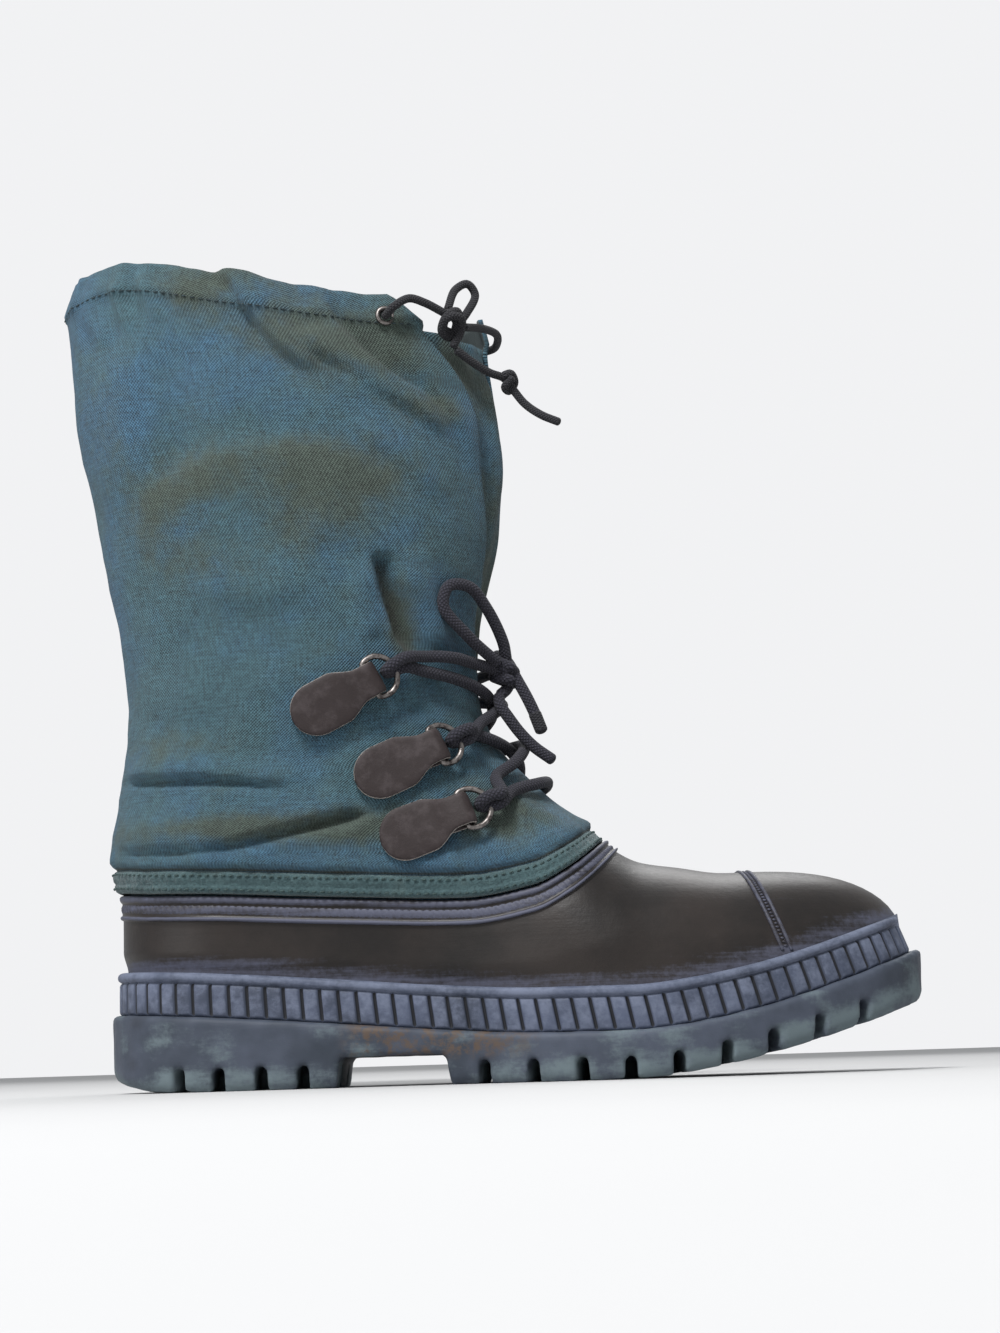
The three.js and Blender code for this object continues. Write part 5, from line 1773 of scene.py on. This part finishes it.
    def _hem_stitches(self) -> None:
        """Makes the stitches along the hem."""
        row = int(np.argmin(np.abs(self.levels - self.hem_level)))
        whole = bmesh.new()
        whole.loops.layers.uv.new("UVMap")
        Stitching(3.4, 2.4, 0.3, 0.1).add(whole, self.points[row], self._normals(self.points)[row])
        self.bench.finish("hem_stitches", whole, [self.palette.thread], Slot.NYLON)

    def _tape_stitches(self) -> None:
        """Makes the two rows of pale stitches along the tape."""
        f = FORM
        angles = np.linspace(0, 2 * math.pi, self.tape_columns + 1)
        whole = bmesh.new()
        whole.loops.layers.uv.new("UVMap")
        for rise, grow in ((2.2, 3.5), (7.6, 4.1)):
            line = f.puffed_ring(rise, grow)(angles)
            ways = line - f.rim_ring(-rise, 0.0)(angles)
            ways /= np.linalg.norm(ways, axis=1)[:, None]
            Stitching(3.1, 2.3, 0.36, 0.15, 0.2).add(whole, line, ways)
        self.bench.finish("tape_stitches", whole, [self.palette.pale], Slot.NYLON)


def noise_line(values: Points, seed: float) -> Points:
    """Noise from about -1 to 1 at places along the line of a seed."""
    level = np.full(values.shape, seed)
    return noise_over(np.stack([values, level, 0.5 * level], axis=-1)) * 1.6


@dataclass
class Gusset(Maker):
    """Bellows gusset that swells and crumples in the front opening."""

    columns: int = 64
    rows: int = 120
    foot: float = 126
    top: float = 302
    wall: float = 1.2
    seam: float = 8
    inset: float = 3.4
    bulge: float = 4.5

    def build(self, shaft: Shaft) -> None:
        """Makes the gusset.

        Args:
            shaft: The shaft it lies in.
        """
        f = FORM
        grid = np.zeros((self.rows + 1, self.columns + 1, 3))
        swell = Curve((0, 0.3, 0.5, 0.7, 0.86, 1), (0, 0.1, 0.6, 1, 0.55, -0.6))
        tree = shaft.lower_tree
        for j in range(self.rows + 1):
            share = j / self.rows
            z = self.foot + (self.top - self.foot) * share
            level = z / f.boot_height
            outer, inner = (float(f.slot[side](level)) * f.shaft_width for side in ("outer", "inner"))
            low = max(outer - self.seam, -0.385 * f.shaft_width)
            high = inner + self.seam
            for i in range(self.columns + 1):
                y = low + (high - low) * i / self.columns
                spot, way, _, _ = tree.ray_cast(Vector((260, y, z)), Vector((-1, 0, 0)))
                if way.x < 0:
                    way = -way
                p = spot - way * self.inset
                off = (y - (outer + inner) / 2) / max(1.0, (inner - outer) / 2 - 6)
                window = (1 - off * off) ** 1.5 if abs(off) < 1 else 0.0
                ripple = noise.noise(Vector((y * 0.09, z * 0.035, 3))) * 1.8
                fold = math.sin(0.38 * y + 2.2 * noise.noise(Vector((y * 0.02, z * 0.02, 7)))) * 1.1
                p.x += self.bulge * float(swell(share)) * window + window * (ripple + fold)
                grid[j, i] = p
        u, v = np.meshgrid(np.linspace(0, 0.07, self.columns + 1), np.linspace(0, 0.18, self.rows + 1))
        tone = 0.3 + noise_over(grid * 0.03)
        marks = {"tone": tone, "crease": np.zeros(tone.shape)}
        shape = Bench.grid(grid, u, v, marks, np.array([60.0, 0, 200]))
        piece = self.bench.finish(
            "nylon_gusset", shape, [self.palette.nylon, self.palette.lining], Slot.NYLON, ["front_gusset"]
        )
        Bench.wall(piece, self.wall * 0.001)


# ---- lacing


@dataclass(frozen=True)
class LaceRow:
    """A pair of lace rings: where their bars lie and how their patches lean."""

    name: str
    x: float
    z: float
    lean: float


LACE_ROWS = (
    LaceRow("low", 140.92, 102.51, 20),
    LaceRow("middle", 129.92, 128.305, 25),
    LaceRow("top", 105.92, 155.44, 27),
)


@dataclass(frozen=True)
class RingSeat:
    """The seat of one ring on the shaft, with its own axes."""

    origin: Vector
    outward: Vector
    forward: Vector
    across: Vector

    @staticmethod
    def find(row: LaceRow, side: float, shaft: Shaft) -> "RingSeat":
        """Finds the seat.

        Args:
            row: The pair of rings.
            side: Sign of the side.
            shaft: The shaft it lies on.

        Returns:
            The seat.
        """
        origin, outward = shaft.on_side(row.x, row.z, side)
        lean = math.radians(row.lean)
        aim = Vector((math.cos(lean), 0, math.sin(lean)))
        forward = (aim - outward * aim.dot(outward)).normalized()
        return RingSeat(origin, outward, forward, outward.cross(forward))

    def place(self, ahead: float, aside: float, out: float) -> Points:
        """A point from its distances along the seat's axes."""
        spot = self.origin + self.forward * ahead + self.across * aside + self.outward * out
        return np.array(spot)


@dataclass
class LacePatch(Maker):
    """Leather patch that folds round the bar of its ring."""

    width: float = 21
    length: float = 32
    thickness: float = 2.2
    neck: float = 13
    lift: float = 1.0
    hole: float = 1.8

    @property
    def bar_height(self) -> float:
        """Height of the ring's bar above the cloth."""
        return self.lift + self.hole + self.thickness

    def build(self, name: str, seat: RingSeat, shaft: Shaft) -> None:
        """Makes one patch.

        Args:
            name: Row and side, as in the node's name.
            seat: Where it lies.
            shaft: The cloth it lies on.
        """
        radius = self.hole + self.thickness / 2
        bar = (1.6, self.bar_height)
        track = [(-7.0, self.lift + 0.5 * self.thickness), (-3.0, self.lift + 0.5 * self.thickness)]
        for angle in (-90, -60, -30, 0, 30, 60, 90, 112):
            a = math.radians(angle)
            track.append((bar[0] + radius * math.cos(a), bar[1] + radius * math.sin(a)))
        track += [(-4.5, 6.6), (-9.0, 4.9), (-14.0, 4.3), (-20.0, 4.1), (-26.0, 4.0), (-31.9, 3.8)]
        line = smoothed(track, 0.8)
        count = 26
        grid, mark = [], []
        reach = reach_of(line)
        turn_at = reach[int(np.argmax(line[:, 0]))]
        run = np.gradient(line, axis=0)
        run /= np.linalg.norm(run, axis=1)[:, None]
        angles = np.linspace(0, 2 * math.pi, count + 1)
        for k, (ahead, out) in enumerate(line):
            half = self.neck / 2
            if reach[k] > turn_at:
                half = self.neck / 2 + (self.width - self.neck) / 2 * float(smooth(2.5, 13, -ahead))
                off = np.clip((self.width / 2 - self.length - ahead) / (self.width / 2), 0, 0.9995)
                half *= math.sqrt(1 - off * off)
            else:
                half *= math.sqrt(1 - (1 - min(1.0, (reach[k] + 0.02) / 2)) ** 2)
            thick = self.thickness / 2 * min(1.0, 0.25 + half / 4)
            c, s = np.cos(angles), np.sin(angles)
            y = half * np.sign(c) * np.abs(c) ** 0.35
            h = thick * np.sign(s) * np.abs(s) ** 0.75
            across = -run[k][1], run[k][0]
            ring = []
            for yy, hh in zip(y, h):
                a, o = ahead + across[0] * hh, out + across[1] * hh
                if reach[k] > turn_at and ahead < -2:
                    base = seat.place(a, yy, 0)
                    spot, _ = shaft.on_side(float(base[0]), float(base[2]), float(np.sign(seat.outward.y)))
                    drop = float((spot - Vector(base)).dot(seat.outward))
                    bend = float(smooth(2, 12, -ahead))
                    ring.append(seat.place(a, yy, o + drop * bend - 1.6 * bend))
                else:
                    ring.append(seat.place(a, yy, o))
            grid.append(ring)
            mark.append(np.clip((np.abs(y) / max(half, 0.1) - 0.93) / 0.07, 0, 1) * 0.8)
        u, v = np.meshgrid(angles / 6.28, reach * 0.001)
        shape = Bench.grid(np.array(grid), u, v, {"scuff": np.array(mark)})
        bmesh.ops.holes_fill(shape, edges=shape.edges, sides=40)
        self.bench.finish(
            f"leather_patch_{name}", shape, [self.palette.leather], Slot.LEATHER, [f"lace_patch_{name}"]
        )


@dataclass
class LaceRing(Maker):
    """Wire D-ring whose bar lies in the patch's fold."""

    wire: float = 2.4
    width: float = 19
    reach: float = 11
    bar_height: float = 5.0

    def build(self, name: str, seat: RingSeat) -> None:
        """Makes one ring.

        Args:
            name: Row and side, as in the node's name.
            seat: Where its bar lies.
        """
        half = self.width / 2 - self.wire / 2
        track = [(0.0, y * half) for y in (0.0, 0.45, 0.86)]
        for step in range(1, 12):
            a = math.pi * step / 12
            track.append((1.2 + (self.reach - 1.2) * math.sin(a) ** 0.8, half * math.cos(a)))
        track += [(0.0, -0.86 * half), (0.0, -0.45 * half), (0.0, 0.0)]
        spots = [seat.place(1.6 + a, s, self.bar_height - 0.1 * a) for a, s in track]
        line = smoothed(spots, 0.7)
        line[-1] = line[0]
        shape = Cord(self.wire, 12).mesh(line, closed=True)
        self.bench.finish(f"wire_ring_{name}", shape, [self.palette.metal], Slot.METAL, [f"lace_ring_{name}"])


@dataclass
class Lacing(Maker):
    """The lace from its knot through the rings and back."""

    diameter: float = 4.8

    def build(self, shaft: Shaft) -> None:
        """Makes patches, rings and laces.

        Args:
            shaft: The shaft they lie on.
        """
        seats = {}
        for row in LACE_ROWS:
            for side, word in ((-1.0, "outer"), (1.0, "inner")):
                seat = RingSeat.find(row, side, shaft)
                seats[row.name, side] = seat
                LacePatch(self.bench, self.palette).build(f"{row.name}_{word}", seat, shaft)
                LaceRing(self.bench, self.palette).build(f"{row.name}_{word}", seat)
        self._lace(shaft, seats)

    def _through(self, seat: RingSeat, aside: float) -> list[Points]:
        """Points of the lace over the ring's bow, down through it and out beneath."""
        return [
            seat.place(18.0, aside, 6.4),
            seat.place(13.4, aside, 7.4),
            seat.place(9.6, 0.6 * aside, 6.2),
            seat.place(8.6, 0.0, 3.9),
            seat.place(11.5, -0.6 * aside, 2.9),
            seat.place(16.5, -aside, 3.1),
        ]

    def _across(
        self, shaft: Shaft, start: Points, end: Points, rise: float, over: float
    ) -> list[Points]:
        """Points of a run round the front.

        Args:
            shaft: The shaft it lies on.
            start: Where it starts.
            end: Where it ends.
            rise: How far it rises at the front.
            over: How far it lifts over the run that it crosses.

        Returns:
            The points between the two.
        """
        bearings = [math.atan2(p[1], p[0] - shaft.axis_x) for p in (start, end)]
        made = []
        for share in (0.14, 0.28, 0.4, 0.5, 0.6, 0.72, 0.86):
            bearing = bearings[0] + (bearings[1] - bearings[0]) * share
            z = start[2] + (end[2] - start[2]) * share + rise * math.sin(math.pi * share)
            lift = self.diameter / 2 + 0.9 + over * math.sin(math.pi * share) ** 4
            made.append(np.array(shaft.round_front(bearing, float(z), lift)))
        return made

    def _lace(self, shaft: Shaft, seats: dict[tuple[str, float], RingSeat]) -> None:
        """Makes the lace through all six rings."""
        knot = np.array([160.0, -8.0, 165.5])
        route: list[Points] = [knot + (-1.5, -3.0, -1.0)]
        order = [("top", -1.0), ("middle", 1.0), ("low", -1.0), ("low", 1.0), ("middle", -1.0), ("top", 1.0)]
        rises = [6.0, 5.0, 9.0, 5.0, 6.0]
        overs = [0.0, 5.2, 0.0, 0.0, 5.2]
        first = self._through(seats[order[0]], 1.5)
        route += self._across(shaft, route[0], first[0], 2.0, 2.0)[1:6]
        for k, key in enumerate(order):
            passed = self._through(seats[key], 1.5)
            route += passed
            if k + 1 < len(order):
                ahead = self._through(seats[order[k + 1]], 1.5)[0]
                route += self._across(shaft, passed[-1], ahead, rises[k], overs[k])
        route += self._across(shaft, route[-1], knot, 2.0, 2.0)[1:6]
        route.append(knot + (0.0, 3.0, -1.0))
        line = smoothed(route, 1.3)
        shape = Cord(self.diameter).mesh(line)
        self.bench.finish("lace_through_rings", shape, [self.palette.lace], Slot.LACE, ["lace_crossings"])


@dataclass(frozen=True)
class Kind:
    """What a cord is made of."""

    size: float
    finish: bpy.types.Material
    slot: Slot


@dataclass
class FreeCords(Maker):
    """The bow of the lace and the drawcord at the collar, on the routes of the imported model."""

    LACE = 4.8
    DRAW = 3.4
    KNOT = ((156, 5, 170), (160.5, -3, 165.5), (162, -9, 161.5), (159.5, -13, 165.5), (157.5, -9, 170.5),
            (160.5, -3.5, 171), (164, -4.5, 165), (161.5, -8, 157.5), (159, -10.5, 154.8))
    LOOP = ((157.6, -15.9, 167.2), (146, -28.5, 176.5), (137.2, -33.9, 187.5), (139.5, -33.5, 195.5),
            (147.5, -28.5, 196), (154.5, -21.5, 188), (160.5, -13.5, 175.5), (161.5, -10.5, 169.5))
    WRAPS = (
        ((163, -13.2, 165.5), (157.6, -12.4, 168), (155.8, -6.5, 169), (159.2, -2, 168), (163.8, -4.6, 165.4),
         (164.6, -9.6, 164), (163, -13.2, 165.5)),
        ((162.6, -12.6, 160.4), (157.4, -11.4, 161.6), (156.8, -6, 162.6), (160.2, -3.4, 161.6),
         (163.8, -6.6, 159.8), (162.6, -12.6, 160.4)),
    )
    END_UPPER = ((162.2, -9.6, 167.5), (166, -10.5, 160), (169.5, -11.5, 153), (172.5, -12, 146),
                 (174.8, -12, 139.5))
    END_LOWER = ((158.1, -11.6, 153.6), (158.5, -13.8, 150), (161.8, -15, 144.5), (166, -15, 138.5),
                 (171.5, -15, 132.5), (178.5, -16, 127))
    STRAND_OUTER = ((116.2, -37.5, 306), (118, -42, 306.6), (121.5, -45, 309), (127, -42.5, 312.5),
                    (133, -39.5, 311.5), (140, -35.1, 308.8), (143, -33, 307.5))
    DRAW_KNOT = ((142, -34, 309), (145.5, -30, 306), (143, -28.5, 300), (139.5, -32.5, 301.5),
                 (141.5, -35.5, 306.5), (146, -33, 309.5), (147.5, -29.5, 303), (144, -30, 296))
    DRAW_WRAP = ((141, -35.4, 305.4), (140.4, -31.4, 303), (143.6, -28.4, 302.2), (147.4, -29.6, 304.2),
                 (147.6, -33.4, 306.4), (144.4, -35.8, 306.8), (141, -35.4, 305.4))
    DRAW_LOOP = ((142.3, -32.5, 310.9), (145.5, -29, 320), (150.5, -27, 323), (153.5, -25, 319),
                 (150, -28, 310.5), (147, -29.8, 306))
    STRAND_INNER = ((148.9, -28, 304.3), (156, -14, 308), (161.8, 1, 310), (162.2, 10, 309.5),
                    (160.2, 17.6, 308.8), (155.2, 20.2, 308.4), (152.2, 16.8, 308.2))
    TAIL = ((145.5, -29, 294.2), (152, -25, 290), (158.5, -20.5, 287), (164.5, -16.5, 285.5), (168, -15, 281),
            (172.5, -15, 275), (179, -17, 269.5), (186, -18, 266))

    END_KNOT = ((164.5, -18.2, 286.5), (167.2, -16.5, 287.5), (168.6, -13.6, 284.5), (166.4, -12.8, 281.2),
                (164.6, -16.2, 282.0), (167.6, -18.0, 285.0))

    def _knot(
        self, name: str, track: Sequence[Sequence[float]], kind: Kind, nodes: Sequence[str] = (),
        closed: bool = False,
    ) -> bpy.types.Object:
        """Makes a knot as a tight run of its cord."""
        shape = Cord(kind.size).mesh(smoothed(track, 0.7), closed)
        return self.bench.finish(name, shape, [kind.finish], kind.slot, nodes)

    def _free(
        self, name: str, track: Sequence[Sequence[float]], kind: Kind, far_end: str,
        with_pieces: Sequence[bpy.types.Object] = (), lay: str = "loose",
    ) -> None:
        """Args:
            name: The node that it stands for.
            track: Its given points.
            kind: What it is made of.
            far_end: Not used.
            with_pieces: Not used.
            lay: Not used.
        """
        line = smoothed(track, 0.9)
        size = kind.size
        piece = self.bench.finish(f"{name}_cord", Cord(size).mesh(line), [kind.finish], kind.slot, [name])
        path = FORM.metres(line)
        tuple(path[0])
        length_of(path)
        [tuple(p) for p in path]

    def build(self) -> None:
        """Makes all the free cords."""
        lace = Kind(self.LACE, self.palette.lace, Slot.LACE)
        tipped = Kind(self.LACE + 0.5, self.palette.cord, Slot.LACE)
        cord = Kind(self.DRAW, self.palette.cord, Slot.DRAWCORD)
        knot = self._knot("lace_bow_knot", self.KNOT, lace, ["lace_knot"])
        wraps = [
            self._knot(f"lace_knot_wrap_{n}", track, lace, closed=True) for n, track in enumerate(self.WRAPS)
        ]
        self._free("lace_loop", self.LOOP, lace, "knot", [knot, *wraps])
        tip = self._knot("lace_tip", self.END_UPPER[-2:], tipped)
        self._free("lace_end_upper", self.END_UPPER, lace, "fitting", [tip])
        self._free("lace_end_lower", self.END_LOWER, lace, "bare")
        draw = self._knot("drawcord_bow_knot", self.DRAW_KNOT, cord, ["drawcord_knot"])
        band = self._knot("drawcord_knot_wrap", self.DRAW_WRAP, cord, closed=True)
        self._free("drawcord_strand_outer", self.STRAND_OUTER, cord, "knot", [draw, band], "taut")
        self._free("drawcord_loop", self.DRAW_LOOP, cord, "knot")
        self._free("drawcord_strand_inner", self.STRAND_INNER, cord, "object", (), "taut")
        stop = self._knot("drawcord_end_knot", self.END_KNOT, cord)
        self._free("drawcord_tail", self.TAIL, cord, "bare", [stop])


@dataclass
class Grommet(Maker):
    """Metal eyelet for the drawcord in the collar's hem."""

    diameter: float = 8.5
    hole: float = 4.2
    thickness: float = 1.2

    def build(self, name: str, x: float, z: float, side: float, shaft: Shaft) -> None:
        """Makes one eyelet.

        Args:
            name: Which side, as in the node's name.
            x: X of its middle.
            z: Z of its middle.
            side: Sign of the side.
            shaft: The cloth it sits in.
        """
        origin, outward = shaft.on_side(x, z, side)
        shape = bmesh.new()
        inner, outer = self.hole / 2, self.diameter / 2
        profile = (
            (inner, -2.2), (inner, 0.3), (inner + 0.5, 0.9), (inner + 1.1, self.thickness),
            (outer - 0.5, 0.9), (outer, 0.3), (outer - 0.3, 0.0), (inner + 0.5, 0.0), (inner + 0.4, -2.2),
        )
        verts = [shape.verts.new((r, 0, h)) for r, h in profile]
        edges = [shape.edges.new((verts[i], verts[(i + 1) % len(verts)])) for i in range(len(verts))]
        bmesh.ops.spin(
            shape, geom=verts + edges, cent=(0, 0, 0), axis=(0, 0, 1), angle=2 * math.pi, steps=36,
            use_merge=True,
        )
        bmesh.ops.remove_doubles(shape, verts=shape.verts, dist=1e-5)
        bmesh.ops.recalc_face_normals(shape, faces=shape.faces)
        turn = outward.to_track_quat("Z", "Y").to_matrix().to_4x4()
        spot = Vector(FORM.metres(np.array(origin)))
        shape.transform(Matrix.Translation(spot) @ Matrix.Scale(0.001, 4) @ turn)
        self.bench.finish(
            f"collar_eyelet_{name}", shape, [self.palette.metal], Slot.METAL, [f"drawcord_grommet_{name}"]
        )


# ---- studio


@dataclass
class Studio:
    """Camera, floor and soft light."""

    distance: float = 0.95
    eye_height: float = 0.008
    view_width: float = 0.405
    aim: tuple[float, float, float] = (0.006, 0.0, 0.168)
    roll: float = 1.8

    def camera(self) -> None:
        """Puts the camera just above the floor, looking up at the boot's outer side."""
        data = bpy.data.cameras.new("camera")
        data.sensor_fit = "HORIZONTAL"
        data.sensor_width = 36
        data.lens = 36 * self.distance / self.view_width
        data.clip_start = 0.01
        data.clip_end = 60
        seat = bpy.data.objects.new("camera", data)
        bpy.context.scene.collection.objects.link(seat)
        eye = Vector((self.aim[0], -self.distance, self.eye_height))
        look = (Vector(self.aim) - eye).normalized()
        right = look.cross(Vector((0, 0, 1))).normalized()
        up = right.cross(look)
        turn = Matrix((right, up, -look)).transposed().to_4x4()
        seat.matrix_world = Matrix.Translation(eye) @ Matrix.Rotation(math.radians(self.roll), 4, look) @ turn
        bpy.context.scene.camera = seat

    def floor(self, palette: Palette) -> None:
        """Makes the floor."""
        shape = bmesh.new()
        bmesh.ops.create_grid(shape, x_segments=4, y_segments=4, size=20)
        piece = stood("floor", shape)
        piece.data.materials.append(palette.floor)

    def lights(self) -> None:
        """Sets soft area lights and a pale sky."""
        bpy.context.scene.view_settings.view_transform = "Standard"
        world = bpy.data.worlds.new("pale studio")
        world.use_nodes = True
        tree = world.node_tree
        soft = tree.nodes["Background"]
        soft.inputs["Color"].default_value = (0.96, 0.98, 1.0, 1)
        soft.inputs["Strength"].default_value = 0.58
        pale = tree.nodes.new("ShaderNodeBackground")
        pale.inputs["Color"].default_value = (0.98, 0.985, 1.0, 1)
        pale.inputs["Strength"].default_value = 0.9
        path = tree.nodes.new("ShaderNodeLightPath")
        mix = tree.nodes.new("ShaderNodeMixShader")
        tree.links.new(path.outputs["Is Camera Ray"], mix.inputs[0])
        tree.links.new(soft.outputs[0], mix.inputs[1])
        tree.links.new(pale.outputs[0], mix.inputs[2])
        tree.links.new(mix.outputs[0], tree.nodes["World Output"].inputs["Surface"])
        bpy.context.scene.world = world
        for name, place, size, power in (
            ("key", (-0.4, -0.95, 1.5), 0.5, 34.0),
            ("fill", (-1.3, -1.1, 0.5), 1.2, 7.0),
            ("back", (0.3, 1.4, 1.6), 1.2, 14.0),
        ):
            data = bpy.data.lights.new(name, "AREA")
            data.shape = "DISK"
            data.size = size
            data.energy = power
            lamp = bpy.data.objects.new(name, data)
            bpy.context.scene.collection.objects.link(lamp)
            lamp.location = place
            aim = Vector((0, 0, 0.15)) - Vector(place)
            lamp.rotation_euler = aim.to_track_quat("-Z", "Y").to_euler()


def main() -> None:
    """Builds the boot in order."""
    logging.basicConfig(level=logging.INFO, format="%(message)s")
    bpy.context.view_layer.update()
    palette = Palette()
    bench = Bench()
    studio = Studio()
    studio.camera()
    FreeCords(bench, palette).build()
    studio.floor(palette)
    studio.lights()
    Outsole(bench, palette).build()
    RibbedBand(bench, palette).build()
    RubberShell(bench, palette).build()
    Insole(bench, palette).build()
    shaft = Shaft(bench, palette)
    shaft.build()
    Gusset(bench, palette).build(shaft)
    Lacing(bench, palette).build(shaft)
    Grommet(bench, palette).build("outer", 117, 0.914 * FORM.boot_height, -1.0, shaft)
    Grommet(bench, palette).build("inner", 153, 0.92 * FORM.boot_height, 1.0, shaft)
    LOG.info("%d pieces", len(bench.made))


if __name__ == "__main__":
    main()
